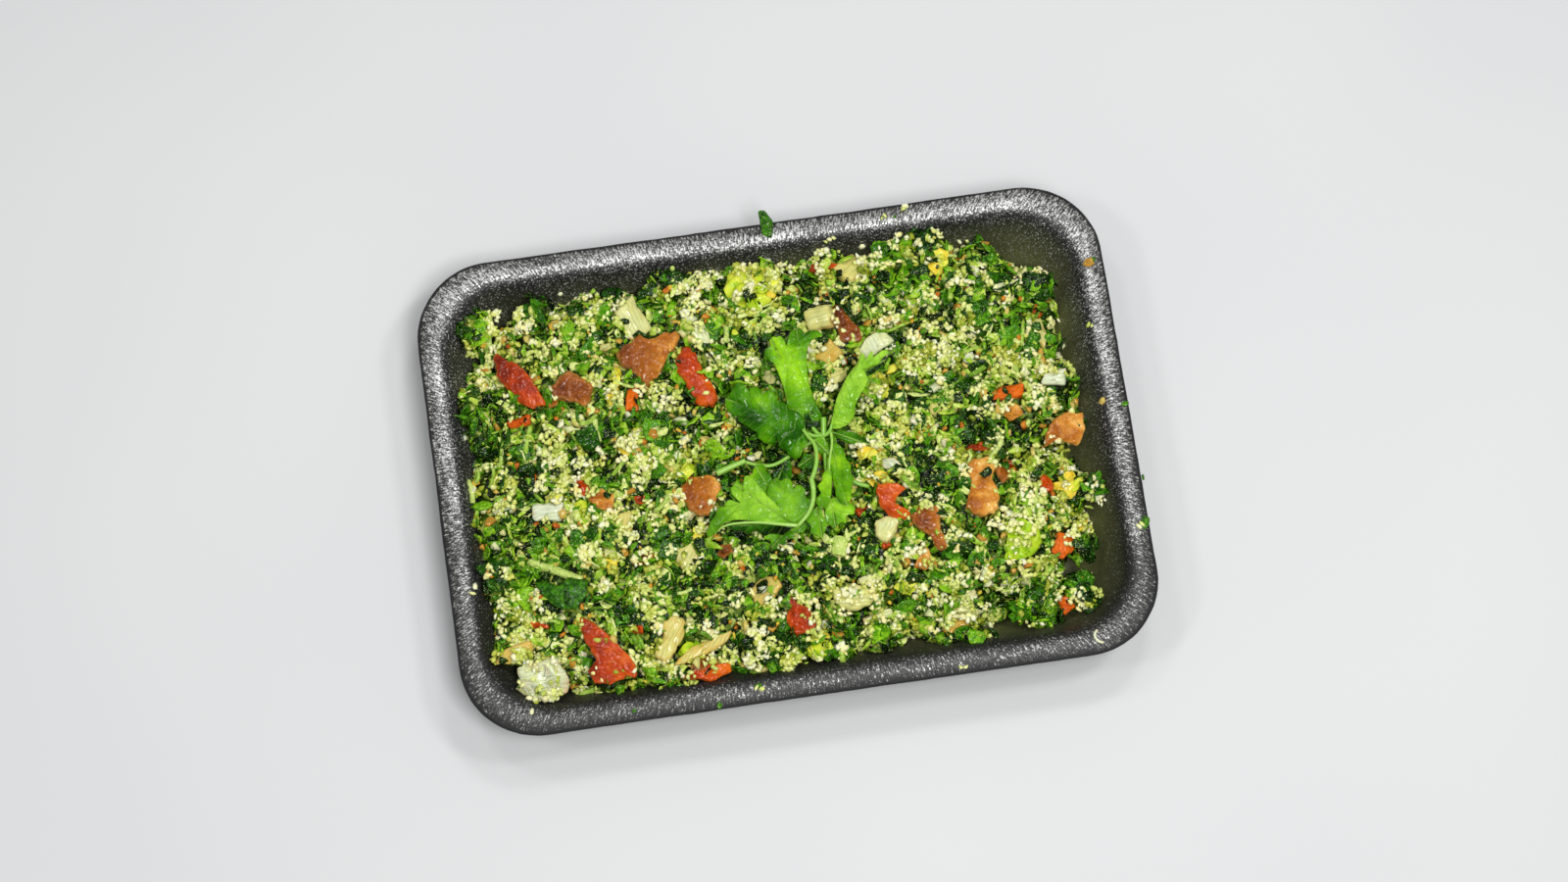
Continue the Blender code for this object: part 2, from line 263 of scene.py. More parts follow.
def black_foam():
    """Black extruded polystyrene foam, thermoformed: a dull skin whose stretched cells glint silver on the lip, with
    painted light on the lip and towards the back and painted shade on the walls and at the cut edge.
    """
    finish, tree, shader = new_finish("black_polystyrene_foam", {"Specular IOR Level": 0.45, "IOR": 1.59})
    place = node(tree, "TexCoord").outputs["Object"]
    width, depth, height = node(tree, "SeparateXYZ", {"Vector": place}).outputs
    along = node(tree, "Attribute", attribute_name="along").outputs["Fac"]
    across = node(tree, "Attribute", attribute_name="across").outputs["Fac"]
    from_edge = node(tree, "Attribute", attribute_name="from_edge").outputs["Fac"]
    # Foam cells are 0.1 to 0.3 mm; they are drawn 0.5 mm wide so that they show
    cells = node(tree, "TexNoise", {"Vector": place, "Scale": 1 / (0.5 * MM), "Detail": 1.5}).outputs["Fac"]
    # Cells drawn out over the lip: 0.5 mm along the edge and 2 mm across it
    drawn = node(tree, "CombineXYZ", {"X": along, "Y": node(tree, "Math", {0: across, 1: 0.25}, operation="MULTIPLY").outputs[0]})
    streaks = node(tree, "TexNoise", {"Vector": drawn.outputs[0], "Scale": 1 / (0.5 * MM), "Detail": 1.0}).outputs["Fac"]
    patches = node(tree, "TexNoise", {"Vector": place, "Scale": 1 / (11 * MM), "Detail": 2.0}).outputs["Fac"]
    lip = node(tree, "MapRange", {"Value": from_edge, "From Min": 8.6 * MM, "From Max": 5.6 * MM}, interpolation_type="SMOOTHSTEP")
    # Painted shade: from 3.8 mm to 1.2 mm before the cut the lip is drawn darker, for its outer fall turned away from
    # the light
    outer = node(tree, "MapRange", {"Value": from_edge, "From Min": 3.8 * MM, "From Max": 1.2 * MM, "To Max": 0.045})
    # Painted light and shade: the foam is drawn darker towards the front and lighter towards the back, for how the
    # lights fall on the lip
    back = node(tree, "MapRange", {"Value": depth, "From Min": -72 * MM, "From Max": 20 * MM, "To Min": -0.115, "To Max": -0.04})
    mixed = node(tree, "Mix", {0: 0.5, 2: cells, 3: streaks}, data_type="FLOAT").outputs[0]
    softened = node(tree, "Math", {0: mixed, 1: 0.8, 2: 0.1}, operation="MULTIPLY_ADD").outputs[0]
    muted = node(tree, "Math", {0: cells, 1: 0.85, 2: 0.075}, operation="MULTIPLY_ADD").outputs[0]
    shown = node(tree, "Mix", {0: lip.outputs[0], 2: muted, 3: softened}, data_type="FLOAT").outputs[0]
    # Painted light and shade: the lip is drawn lighter and the walls darker, for how the lights fall on the lip's crest
    # and into the tray
    lift = node(tree, "MapRange", {"Value": lip.outputs[0], "To Min": -0.035, "To Max": 0.092}).outputs[0]
    patchy = node(tree, "Math", {0: patches, 1: 0.12, 2: -0.06}, operation="MULTIPLY_ADD").outputs[0]
    summed = node(tree, "Math", {0: shown, 1: lift}, operation="ADD").outputs[0]
    shaded = node(tree, "Math", {0: summed, 1: outer.outputs[0]}, operation="SUBTRACT").outputs[0]
    lit_towards_back = node(tree, "Math", {0: shaded, 1: back.outputs[0]}, operation="ADD").outputs[0]
    uneven = node(tree, "Math", {0: lit_towards_back, 1: patchy}, operation="ADD").outputs[0]
    # Painted shade: the last millimetre before the cut is drawn black, for the shade on the cut edge and under the lip
    cut_edge_shade = node(tree, "MapRange", {"Value": from_edge, "From Min": 0.3 * MM, "From Max": 1.1 * MM, "To Min": 0.2, "To Max": 0.0})
    silver = node(tree, "Math", {0: uneven, 1: cut_edge_shade.outputs[0]}, operation="SUBTRACT").outputs[0]
    tint = node(tree, "ValToRGB", {"Fac": silver}, stops=(
        (0.40, "#0e0e0e"), (0.49, "#343432"), (0.55, "#868682"), (0.63, "#dededc")))
    wet = node(tree, "MapRange", {"Value": height, "From Min": 23 * MM, "From Max": 9 * MM, "To Max": 1.2})
    # The juice stands inside only, and more of it to the right
    inside = node(tree, "Attribute", attribute_name="inside").outputs["Fac"]
    pooled = node(tree, "MapRange", {"Value": width, "From Min": -90 * MM, "From Max": 90 * MM, "To Min": 0.3, "To Max": 0.95})
    film = node(tree, "TexNoise", {"Vector": place, "Scale": 1 / (14 * MM), "Detail": 4.0}).outputs["Fac"]
    filmy = node(tree, "Math", {0: film, 1: wet.outputs[0]}, operation="MULTIPLY").outputs[0]
    filmy = node(tree, "Math", {0: filmy, 1: pooled.outputs[0]}, operation="MULTIPLY").outputs[0]
    filmy = node(tree, "Math", {0: filmy, 1: inside}, operation="MULTIPLY").outputs[0]
    olive = node(tree, "Mix", {0: filmy, 6: tint.outputs[0], 7: linear("#767a44")}, data_type="RGBA")
    tree.links.new(olive.outputs[2], shader.inputs["Base Color"])
    rough = node(tree, "MapRange", {"Value": silver, "From Min": 0.4, "From Max": 0.7, "To Min": 0.55, "To Max": 0.34})
    tree.links.new(rough.outputs[0], shader.inputs["Roughness"])
    glint = node(tree, "MapRange", {"Value": silver, "From Min": 0.5, "From Max": 0.68, "To Max": 0.5})
    tree.links.new(glint.outputs[0], shader.inputs["Metallic"])
    relief = node(tree, "Bump", {"Height": shown, "Strength": 0.5, "Distance": 0.25 * MM})
    tree.links.new(relief.outputs[0], shader.inputs["Normal"])
    tree.links.new(relief.outputs[0], shader.inputs["Coat Normal"])
    return finish


# ------------------------------------------------------------------ the heap's core

SKIN_DEPTH = 3.3
CORE_CELL = 1.15
HEAP_FOOT = 5.5

# Lumps of salad that stand out of the heap's edge and top: x, y, z and radius
LUMPS = (
    (-88, 54, 17, 6), (-91, 30, 18, 5), (-90, 22, 17, 5), (-88, 4, 18, 5), (-90, -8, 17, 5), (-91, -26, 17, 5),
    (-88, -40, 17, 5), (-90, -47, 18, 4), (-81, -55, 17, 6), (-60, -59, 18, 5), (-47, -60, 17, 5),
    (-36, -61, 18, 5), (-18, -57, 18, 5), (-6, -57, 18, 5), (5, -59, 17, 5), (20, -59, 16, 5), (41, -62, 15, 5),
    (47, -61, 15, 5), (70, -54, 15, 5), (81, -52, 15, 5), (84, -38, 16, 5), (84, -22, 16, 5), (84, -2, 17, 6),
    (84, 12, 17, 5), (82, 24, 18, 5), (82, 42, 18, 5), (68, 53, 18, 5), (50, 58, 19, 5), (40, 58, 20, 5),
    (22, 56, 19, 5), (2, 58, 19, 5), (-28, 58, 19, 5), (-50, 55, 19, 4), (-68, 56, 19, 5),
)


def heap_clumps(chance, heap, count):
    """Places and sizes of the rounded clumps that the chopped salad holds together in, sunk into its skin."""
    clumps = []
    spots, normals = spread_over(heap, count, chance)
    for spot, normal in zip(spots, normals):
        radius = chance.uniform(2.6, 6.5) * MM
        clumps.append((spot - normal * (radius + chance.uniform(-1.3, 2.4) * MM), radius))
    clumps += [(np.array(lump[:3]) * MM, lump[3] * MM) for lump in LUMPS]
    return clumps


def spread_over(tree_mesh, count, chance, steepest=-0.2, flattest=1.0):
    """Random places spread evenly by area over the upward faces of a mesh, with their normals."""
    points, faces = tree_mesh
    a, b, c = (points[faces[:, i]] for i in range(3))
    across = np.cross(b - a, c - a)
    areas = np.linalg.norm(across, axis=1) / 2
    normals = unit(across)
    middle = (a + b + c) / 3
    areas[(normals[:, 2] < steepest) | (normals[:, 2] > flattest) | (middle[:, 2] < HEAP_FOOT * MM)] = 0
    edges = np.cumsum(areas)
    picked = np.searchsorted(edges, chance.random(count) * edges[-1])
    u, v = chance.random((2, count))
    flip = u + v > 1
    u[flip], v[flip] = 1 - u[flip], 1 - v[flip]
    spots = a[picked] + (b - a)[picked] * u[:, None] + (c - a)[picked] * v[:, None]
    return spots, normals[picked]


def triangles_of(mesh):
    """A mesh's points and triangles as arrays."""
    points = np.empty(len(mesh.vertices) * 3, np.float32)
    mesh.vertices.foreach_get("co", points)
    mesh.calc_loop_triangles()
    faces = np.empty(len(mesh.loop_triangles) * 3, np.int32)
    mesh.loop_triangles.foreach_get("vertices", faces)
    return points.reshape(-1, 3).astype(float), faces.reshape(-1, 3)


def walled_in(points, foam, gap=0.3):
    """Draws points that reach into the tray's walls back to the middle until they are clear of them."""
    near_wall = (np.abs(points[:, 0]) > 78 * MM) | (np.abs(points[:, 1]) > 48 * MM)
    for index in np.flatnonzero(near_wall & (points[:, 2] > 7.5 * MM)):
        for _ in range(20):
            hit = foam.below(points[index, 0], points[index, 1])
            if hit is not None and hit[0][2] < points[index, 2] - gap * MM:
                break
            points[index, :2] *= 0.99
    return points


def clear_of_walls(spots, foam, gap=0.4):
    """Which spots lie inside the tray, above its foam."""
    hits = [foam.below(spot[0], spot[1]) for spot in spots]
    return np.array([hit is not None and hit[0][2] < spot[2] - gap * MM for hit, spot in zip(hits, spots)])


def build_core(chance, foam):
    """The heap a little smaller than it stands, with clumps pushed into its skin, welded into one skin."""
    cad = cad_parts["salad"].data
    outer = triangles_of(cad)
    shape = bmesh.new()
    shape.from_mesh(cad)
    shape.normal_update()
    lowest = min(vert.co.z for vert in shape.verts)
    for vert in shape.verts:
        depth = SKIN_DEPTH if vert.normal.z > -0.3 else 0.3
        vert.co -= vert.normal * depth * MM
    for centre, radius in heap_clumps(chance, outer, 470):
        ball = bmesh.ops.create_icosphere(shape, subdivisions=2, radius=radius)["verts"]
        stretch = chance.uniform(0.8, 1.25, 3)
        for vert in ball:
            vert.co = Vector(np.array(vert.co) * stretch + centre)
            vert.co.z = max(vert.co.z, lowest + 0.5 * MM)
    mesh = bpy.data.meshes.new("salad_core")
    shape.to_mesh(mesh)
    shape.free()
    core = bpy.data.objects.new("salad_core", mesh)
    bpy.context.scene.collection.objects.link(core)
    skin = core.modifiers.new("one_skin", "REMESH")
    skin.mode = "VOXEL"
    skin.voxel_size = CORE_CELL * MM
    skin.use_smooth_shade = True
    graph = bpy.context.evaluated_depsgraph_get()
    core.data = bpy.data.meshes.new_from_object(core.evaluated_get(graph))
    core.modifiers.clear()
    core.data.name = "salad_core"
    roughen(core.data, foam)
    core.data.materials.clear()
    core.data.materials.append(packed_salad())
    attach(core, BODY)
    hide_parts("salad")
    return core


def roughen(mesh, foam):
    """Breaks the core's skin up into crumbs of 1 to 3 mm, shallow enough to stay clear of the tray."""
    points, _ = triangles_of(mesh)
    normals = np.empty(len(points) * 3, np.float32)
    mesh.vertices.foreach_get("normal", normals)
    normals = normals.reshape(-1, 3)
    crumbs = 0.40 * wobble(points / MM, 2.6, 4) + 0.28 * wobble(points / MM, 1.3, 5)
    crumbs = np.where(normals[:, 2] > -0.3, crumbs, np.minimum(crumbs, 0))
    points = walled_in(points + normals * (crumbs * MM)[:, None], foam)
    mesh.vertices.foreach_set("co", points.astype(np.float32).ravel())
    mesh.update()


def packed_salad():
    """The salad's body between the loose pieces: herb mush with pale bulgur crumbs pressed in, drawn mostly dark green,
    partly its own colour and partly painted shade for the gaps it shows through.
    """
    finish, tree, shader = new_finish("packed_salad_and_gap_shade", {
        "Roughness": 0.45, "Specular IOR Level": 0.08, "Coat Weight": 0.5, "Coat Roughness": 0.06, "Coat IOR": 1.34})
    place = node(tree, "TexCoord").outputs["Object"]
    # Crumbs of bulgur and leaf 0.9 to 1.5 mm across
    crumbs = node(tree, "TexVoronoi", {"Vector": place, "Scale": 1 / (1.3 * MM)})
    kind = node(tree, "SeparateColor", {"Color": crumbs.outputs["Color"]}).outputs[0]
    patches = node(tree, "TexNoise", {"Vector": place, "Scale": 1 / (9 * MM), "Detail": 2.0}).outputs["Fac"]
    mixed = node(tree, "Mix", {0: 0.35, 2: kind, 3: patches}, data_type="FLOAT").outputs[0]
    # Painted shade: the ramp stays mostly near black and dark green so that the core reads as shade in the gaps between
    # the pieces
    tint = node(tree, "ValToRGB", {"Fac": mixed}, stops=(
        (0.25, "#0a1402"), (0.42, "#1e3406"), (0.56, "#446212"), (0.70, "#889a30"), (0.86, "#ccd078")))
    tree.links.new(tint.outputs[0], shader.inputs["Base Color"])
    relief = node(tree, "Bump", {"Height": crumbs.outputs["Distance"], "Strength": 0.8, "Distance": 0.6 * MM})
    relief.invert = True
    tree.links.new(relief.outputs[0], shader.inputs["Normal"])
    tree.links.new(relief.outputs[0], shader.inputs["Coat Normal"])
    return finish


# ------------------------------------------------------------------ shapes of the chopped pieces

def bulgur_shapes(chance, count):
    """Swollen cracked grains: blunt, uneven and a little longer than thick, of radius 1."""
    shapes = []
    for _ in range(count):
        ball = bmesh.new()
        bmesh.ops.create_icosphere(ball, subdivisions=1, radius=1)
        points = np.array([vert.co for vert in ball.verts])
        faces = np.array([[vert.index for vert in face.verts] for face in ball.faces])
        ball.free()
        points *= 1 + chance.uniform(-0.34, 0.22, (len(points), 1))
        points *= chance.uniform((0.95, 0.66, 0.55), (1.65, 1.05, 0.85))
        shapes.append((points, faces))
    return shapes


def scrap_shapes(chance, count, rim, rings, thickness, curl, ruffle, narrow=(0.5, 0.9)):
    """Torn or cut scraps of leaf about 1 in radius: closed, thin, curled and folded, with an uneven rim."""
    shapes = []
    for _ in range(count):
        angles = (np.arange(rim) + chance.uniform(-0.3, 0.3, rim)) * 2 * math.pi / rim
        reach = chance.uniform(0.62, 1.1, rim)
        flat = np.column_stack([np.cos(angles) * reach, np.sin(angles) * reach * chance.uniform(*narrow)])
        sheet = np.vstack([[(0, 0)]] + [flat * (ring + 1) / rings for ring in range(rings)])
        bend, fold, twist = chance.uniform(-curl, curl, 3)
        height = bend * sheet[:, 0] ** 2 + abs(fold) * np.abs(sheet[:, 1]) + twist * sheet[:, 0] * sheet[:, 1]
        height += ruffle * chance.normal(size=len(sheet)) * np.linalg.norm(sheet, axis=1)
        shapes.append(thickened(np.column_stack([sheet, height]), rim, rings, thickness))
    return shapes


def thickened(sheet, rim, rings, thickness):
    """Closes a sheet made of a middle point and rings round it into a solid of that thickness."""
    total = len(sheet)
    step = np.arange(rim)
    beyond = (step + 1) % rim
    top = [np.column_stack([np.zeros(rim, int), 1 + step, 1 + beyond])]
    for ring in range(rings - 1):
        inner, outer = 1 + ring * rim, 1 + (ring + 1) * rim
        top.append(np.column_stack([inner + step, outer + step, outer + beyond]))
        top.append(np.column_stack([inner + step, outer + beyond, inner + beyond]))
    top = np.concatenate(top)
    last = 1 + (rings - 1) * rim
    wall = np.concatenate([
        np.column_stack([last + step, last + step + total, last + beyond + total]),
        np.column_stack([last + step, last + beyond + total, last + beyond]),
    ])
    lift = np.array((0, 0, thickness / 2))
    return np.vstack([sheet + lift, sheet - lift]), np.concatenate([top, top[:, ::-1] + total, wall])


def tube(route, radii, sides=6, ridges=0.0):
    """A closed round stalk along a route's points, its radius given at each of them."""
    route = np.asarray(route, float)
    radii = np.broadcast_to(radii, len(route))
    ahead = unit(np.gradient(route, axis=0))
    side = unit(np.cross(ahead, np.array((0.13, 0.21, 1.0))))
    above = np.cross(side, ahead)
    angles = np.arange(sides) * 2 * math.pi / sides
    swell = 1 + ridges * np.cos(5 * angles)
    ring = side[:, None] * (np.cos(angles) * swell)[:, None] + above[:, None] * (np.sin(angles) * swell)[:, None]
    points = (route[:, None] + ring * radii[:, None, None]).reshape(-1, 3)
    points = np.vstack([points, route[:1], route[-1:]])
    step = np.arange(sides)
    beyond = (step + 1) % sides
    faces = []
    for row in range(len(route) - 1):
        near, far = row * sides, (row + 1) * sides
        faces.append(np.column_stack([near + step, far + beyond, far + step]))
        faces.append(np.column_stack([near + step, near + beyond, far + beyond]))
    last = (len(route) - 1) * sides
    ends = len(points) - 2
    faces.append(np.column_stack([np.full(sides, ends), beyond, step]))
    faces.append(np.column_stack([np.full(sides, ends + 1), last + step, last + beyond]))
    return points, np.concatenate(faces)


def stalk_shapes(chance, count):
    """Chopped stalk ends of half length 1: bent a little, cut square, a fifth as thick as long."""
    shapes = []
    for _ in range(count):
        along = np.linspace(-1, 1, 4)
        bend = chance.uniform(-0.25, 0.25, 2)
        route = np.column_stack([along, bend[0] * along ** 2, bend[1] * along ** 2])
        shapes.append(tube(route, chance.uniform(0.16, 0.26)))
    return shapes


def strew(shapes, chance, spots, normals, sizes, tilt, lift, tones=None):
    """Lays a copy of a shape at each spot, flat on the skin but for its tilt, any way round, and joins them."""
    count = len(spots)
    up = unit(normals + tilt * chance.normal(size=(count, 3)))
    side = unit(np.cross(up, chance.normal(size=(count, 3))))
    axes = np.stack([side, np.cross(up, side), up], axis=2)
    scale = np.asarray(sizes) * MM
    centres = spots + normals * (np.asarray(lift) * MM)[:, None]
    which = chance.integers(len(shapes), size=count)
    tones = chance.random(count) if tones is None else tones
    parts = []
    for i, (points, faces) in enumerate(shapes):
        chosen = np.flatnonzero(which == i)
        turned = np.einsum("nij,nvj->nvi", axes[chosen], points[None] * scale[chosen][:, None, None])
        placed = (turned + centres[chosen][:, None]).reshape(-1, 3)
        shifted = (faces[None] + (np.arange(len(chosen)) * len(points))[:, None, None]).reshape(-1, 3)
        marks = {"tone": np.repeat(tones[chosen], len(points))}
        for axis, mark in enumerate(("along", "across")):
            marks[mark] = (points[None, :, axis] * scale[chosen][:, None]).ravel()
        marks["edge"] = np.full(len(placed), 0.4)
        parts.append((placed, shifted, marks))
    return joined(parts)


# ------------------------------------------------------------------ pieces laid one by one

SKY = 0.09
# How far a laid piece settles into the salad under it
SETTLED = 0.15


class Ground:
    """The heap as it is felt from above, for setting pieces down on it."""

    def __init__(self, *solids):
        points, faces, _ = joined([(solid[0], solid[1], {}) for solid in solids])
        self.tree = BVHTree.FromPolygons(points.tolist(), faces.tolist())

    def below(self, x, y):
        """The highest point of the heap over a place and the normal there, or None beside the heap."""
        spot, normal, _, _ = self.tree.ray_cast(Vector((x, y, SKY)), Vector((0, 0, -1)))
        return None if spot is None else (np.array(spot), np.array(normal))

    def rest(self, x, y, reach):
        """Where a piece of that reach comes to rest: its height and the slope under it, both averaged."""
        found = [self.below(x + reach * dx, y + reach * dy) for dx, dy in ((0, 0), (1, 0), (-1, 0), (0, 1), (0, -1))]
        found = [hit for hit in found if hit is not None]
        if not found:
            return np.array((x, y, 18 * MM)), np.array((0, 0, 1.0))
        height = np.mean([hit[0][2] for hit in found])
        return np.array((x, y, height)), unit(np.mean([hit[1] for hit in found], axis=0) + np.array((0, 0, 0.6)))


def knife_outline(chance, length, width, turn, corners):
    """The uneven outline of a knife-cut piece with that many corners, in millimetres about its middle."""
    angles = (np.arange(corners) + 0.5 + chance.uniform(-0.22, 0.22, corners)) * 2 * math.pi / corners
    points = np.column_stack([np.cos(angles), np.sin(angles)]) * chance.uniform(0.78, 1.12, (corners, 1))
    points -= (points.max(axis=0) + points.min(axis=0)) / 2
    points *= np.array((length, width)) / (points.max(axis=0) - points.min(axis=0))
    return turned(points, turn)


def turned(points, degrees):
    """Plan points turned about the origin."""
    angle = math.radians(degrees)
    cos, sin = math.cos(angle), math.sin(angle)
    return points @ np.array(((cos, sin), (-sin, cos)))


def rounded_outline(corners, count, softness):
    """A closed outline through its corners with `count` points, the corners rounded off by averaging."""
    loop = np.vstack([corners, corners[:1]])
    lengths = np.concatenate([[0], np.cumsum(np.linalg.norm(np.diff(loop, axis=0), axis=1))])
    places = np.linspace(0, lengths[-1], count, endpoint=False)
    places[np.abs(places[:, None] - lengths[None, :-1]).argmin(axis=0)] = lengths[:-1]
    points = np.column_stack([np.interp(places, lengths, loop[:, axis]) for axis in (0, 1)])
    for _ in range(softness):
        points = (points * 2 + np.roll(points, 1, axis=0) + np.roll(points, -1, axis=0)) / 4
    return points


# A cut piece from its underside up: share of its thickness, how far inside its outline in millimetres, and how
# far its colour there is that of its edge
SLAB_LEVELS = (
    (-0.5, 1.0, 1), (-0.42, 0.2, 1), (0.0, 0.0, 1), (0.30, 0.1, 0.8), (0.42, 0.35, 0.5), (0.49, 0.8, 0.25),
    (0.51, 1.7, 0.0), (0.54, 2.8, 0.0))


def slab(chance, corners, thick, turn=0.0, bow=0.0, count=36, uneven=0.4):
    """A closed cut piece with knife-sharp edges on an outline, its faces a little uneven and bowed across `turn`."""
    outline = rounded_outline(np.asarray(corners, float), count, 1)
    jagged = np.column_stack([outline, np.zeros(count)])
    outline *= 1 + (0.14 * wobble(jagged, 2.2, chance.uniform(0, 40)) + 0.10 * wobble(jagged, 0.9, 3))[:, None]
    reach = np.linalg.norm(outline, axis=1, keepdims=True)
    rings = [np.column_stack([outline * np.clip(1 - inset / reach, 0.35, 1), np.full(count, level * thick)])
             for level, inset, _ in SLAB_LEVELS]
    edge = np.concatenate([np.repeat([level[2] for level in SLAB_LEVELS], count), (1, 0)])
    points = np.vstack([*rings, [(0, 0, SLAB_LEVELS[0][0] * thick)], [(0, 0, 0.56 * thick)]])
    points += uneven * np.column_stack([wobble(points, 2.8, chance.uniform(0, 40)) for _ in range(3)])
    points[:, 2] += 0.35 * uneven * wobble(points * (1, 1, 0), 2.4, chance.uniform(0, 40)) * (points[:, 2] > 0)
    points[:, 2] *= 1 + 0.03 * (turned(points[:, :2], chance.uniform(0, 360))[:, 0])
    local = turned(points[:, :2], -turn)
    points[:, 2] -= bow * local[:, 1] ** 2
    step = np.arange(count)
    beyond = (step + 1) % count
    faces = []
    for ring in range(len(rings) - 1):
        low, high = ring * count, (ring + 1) * count
        faces.append(np.column_stack([low + step, low + beyond, high + beyond]))
        faces.append(np.column_stack([low + step, high + beyond, high + step]))
    last, ends = (len(rings) - 1) * count, len(rings) * count
    faces.append(np.column_stack([np.full(count, ends), beyond, step]))
    faces.append(np.column_stack([np.full(count, ends + 1), last + step, last + beyond]))
    return points, np.concatenate(faces), local, edge


def leaf_piece(chance, corners, ruffle, thick=0.35, count=34, rings=8, wave=3.0, crown=0.8):
    """A closed thin piece of leaf on an outline, ruffled more towards its rim and crowned in the middle."""
    outline = rounded_outline(np.asarray(corners, float), count, 1)
    outline *= 1 + 0.06 * wobble(np.column_stack([outline, np.zeros(count)]), 1.6, chance.uniform(0, 40))[:, None]
    flat = np.vstack([[(0, 0)]] + [outline * (ring + 1) / rings for ring in range(rings)])
    share = np.concatenate([[0], np.repeat((np.arange(rings) + 1) / rings, count)])
    sheet = np.column_stack([flat, crown * (1 - share ** 2)])
    sheet[:, 2] += ruffle * share ** 0.7 * wobble(sheet * (1, 1, 0), wave, chance.uniform(0, 40))
    points, faces = thickened(sheet, count, rings, thick)
    return points, faces, np.vstack([flat, flat]), np.tile(share ** 3, 2)


def set_down(ground, part, x, y, lift, tone, lean=(0, 0)):
    """Lays a shape on the heap at a place, tipped with the slope there and by its own lean."""
    points, faces, local, edge = part
    reach = np.abs(local).max() * 0.5
    spot, normal = ground.rest(x * MM, y * MM, reach * MM)
    up = unit(normal + np.array((lean[0], lean[1], 0)))
    side = unit(np.cross(np.array((0, 1.0, 0)), up))
    axes = np.stack([side, np.cross(up, side), up], axis=1)
    placed = spot + (points @ axes.T + up * (lift - SETTLED)) * MM
    marks = {
        "tone": np.full(len(points), tone),
        "edge": edge,
        "along": local[:, 0] * MM,
        "across": local[:, 1] * MM,
    }
    return placed, faces, marks


# Knife-cut pieces: x, y, length, width, turn in degrees, corners, thickness, lift and tone
TOMATO_SKIN_CUTS = (
    (-77, 22, 8, 3.5, 5, 4, 2.5, 0.6, 0.7),
    (-43, 24, 9, 3.8, 80, 4, 3, 1.0, 1.0), (-76, 4, 3, 2.2, 0, 4, 2, 0.8, 0.9), (20, 56.5, 9, 3, -15, 4, 2.5, 0.9, 0.3),
    (69, 9, 10.5, 4.2, 0, 4, 3, 1.0, 0.9), (57, -6, 9, 2.6, -5, 4, 2.5, 0.8, 0.3), (76, -20, 6.5, 4.5, 70, 4, 3, 0.9, 0.6),
    (78, -38, 9.5, 8, 15, 5, 3.5, 2.4, 0.95), (76, -55, 6, 4.5, -60, 4, 3, 0.8, 0.8), (-3, -48, 12, 8, -70, 5, 4, 0.9, 0.4),
    (-61, -1, 8, 4, -60, 5, 3, 0.8, 0.35), (-45, -7, 3.5, 3, 0, 4, 2, 0.7, 0.3), (-33, -61.5, 16, 5.5, 6, 5, 3, 0.8, 0.6),
    (-51, -46, 3.4, 2.8, 0, 4, 2, 0.8, 0.4), (26, -31, 3.5, 3, 20, 4, 2, 0.6, 0.5), (20, -20, 4, 3, 10, 4, 2, 0.5, 0.4),
    (-79, -40, 6, 2.2, -20, 4, 2, 0.9, 0.5), (66, -13, 5, 3.5, 30, 4, 2.5, 0.8, 0.2),
)
TOMATO_FLESH_CUTS = (
    (-66, 27, 6, 4, 10, 4, 3, 0.5, 0.4),
    (70, 3.5, 6, 6, 70, 5, 3, 0.8, 0.75), 
    (64, -14, 8, 5, 70, 5, 3, 0.6, 0.4), 
    (35.5, -38.5, 7, 6, 30, 5, 3, 0.6, 0.7), 
    (-56, -6, 8, 6.5, -20, 5, 3, 0.8, 0.6), (-46, -25, 6, 5, 30, 5, 3, 0.7, 0.15), (-33, -59, 10, 4, 5, 4, 3, 1.4, 0.3),
    (-22, -26, 5, 4, 10, 5, 3, 0.5, 0.2), (62, 43, 3, 2, 10, 4, 2, 0.6, 0.4),
)
ONION_CUTS = (
    (-40, 49, 13, 8.5, -65, 4, 3, 1.0, 0.62), (17, 40, 8.5, 7.5, 5, 4, 5, 1.6, 0.5), (18, 29, 8, 7, 40, 4, 4, 1.0, 0.25),
    (28, 55, 9.5, 9, 45, 4, 5, 1.0, 0.42), (84, 12, 9, 5, 5, 4, 3, 1.3, 0.95),
    (82, 27, 12, 4.5, 85, 5, 2.5, 1.0, 0.45), (81.5, 20, 8, 3, 80, 4, 2.5, 1.0, 0.12), (31, -7, 7.5, 5, -45, 5, 2, 1.4, 0.9),
    (-12, -40, 12, 8, 45, 5, 2.5, 0.6, 0.3), (14, -46, 13, 8, 0, 6, 4, 0.8, 0.55),
    (20, -51.5, 10, 3, 10, 4, 2, 0.9, 0.7), (-72, -7, 10.5, 7, 0, 4, 2.5, 1.2, 0.95), (-50, -14, 9.5, 6.5, 80, 5, 3.5, 1.0, 0.4),
    (-88, -47, 13, 5.5, 15, 5, 3, 1.6, 0.3), 
    (43, -58, 10, 5.5, 5, 5, 3, 0.8, 0.2), (46, -52, 7, 6, 0, 5, 4, 0.9, 0.6),
    (60, 56, 11, 2.6, -10, 4, 1.8, 1.2, 0.85), (63, 49, 7, 2, 5, 4, 1.5, 1.0, 0.8), (-85, -4, 8, 2.4, 5, 4, 2, 1.0, 0.9),
    (19, 22, 7, 6, 20, 5, 3, 0.5, 0.5), (-1, 24, 6, 4.5, 80, 5, 3, 0.6, 0.6), (-63, 50, 4, 3, 0, 5, 3, 0.8, 0.25),
    (28, 45, 4, 4, 0, 5, 3, 0.7, 0.15), (-90, -7, 4, 3, 20, 5, 2, 0.9, 0.1), (-49, 41, 4.5, 3, 20, 5, 3, 0.9, 0.5),
    (-35, -45, 4, 3.5, 0, 4, 2.5, 0.8, 0.6), (47, 14, 5, 3, 20, 4, 2, 0.8, 0.85), (-20, 41.5, 9, 5.5, -65, 5, 2, 0.9, 0.78),
)
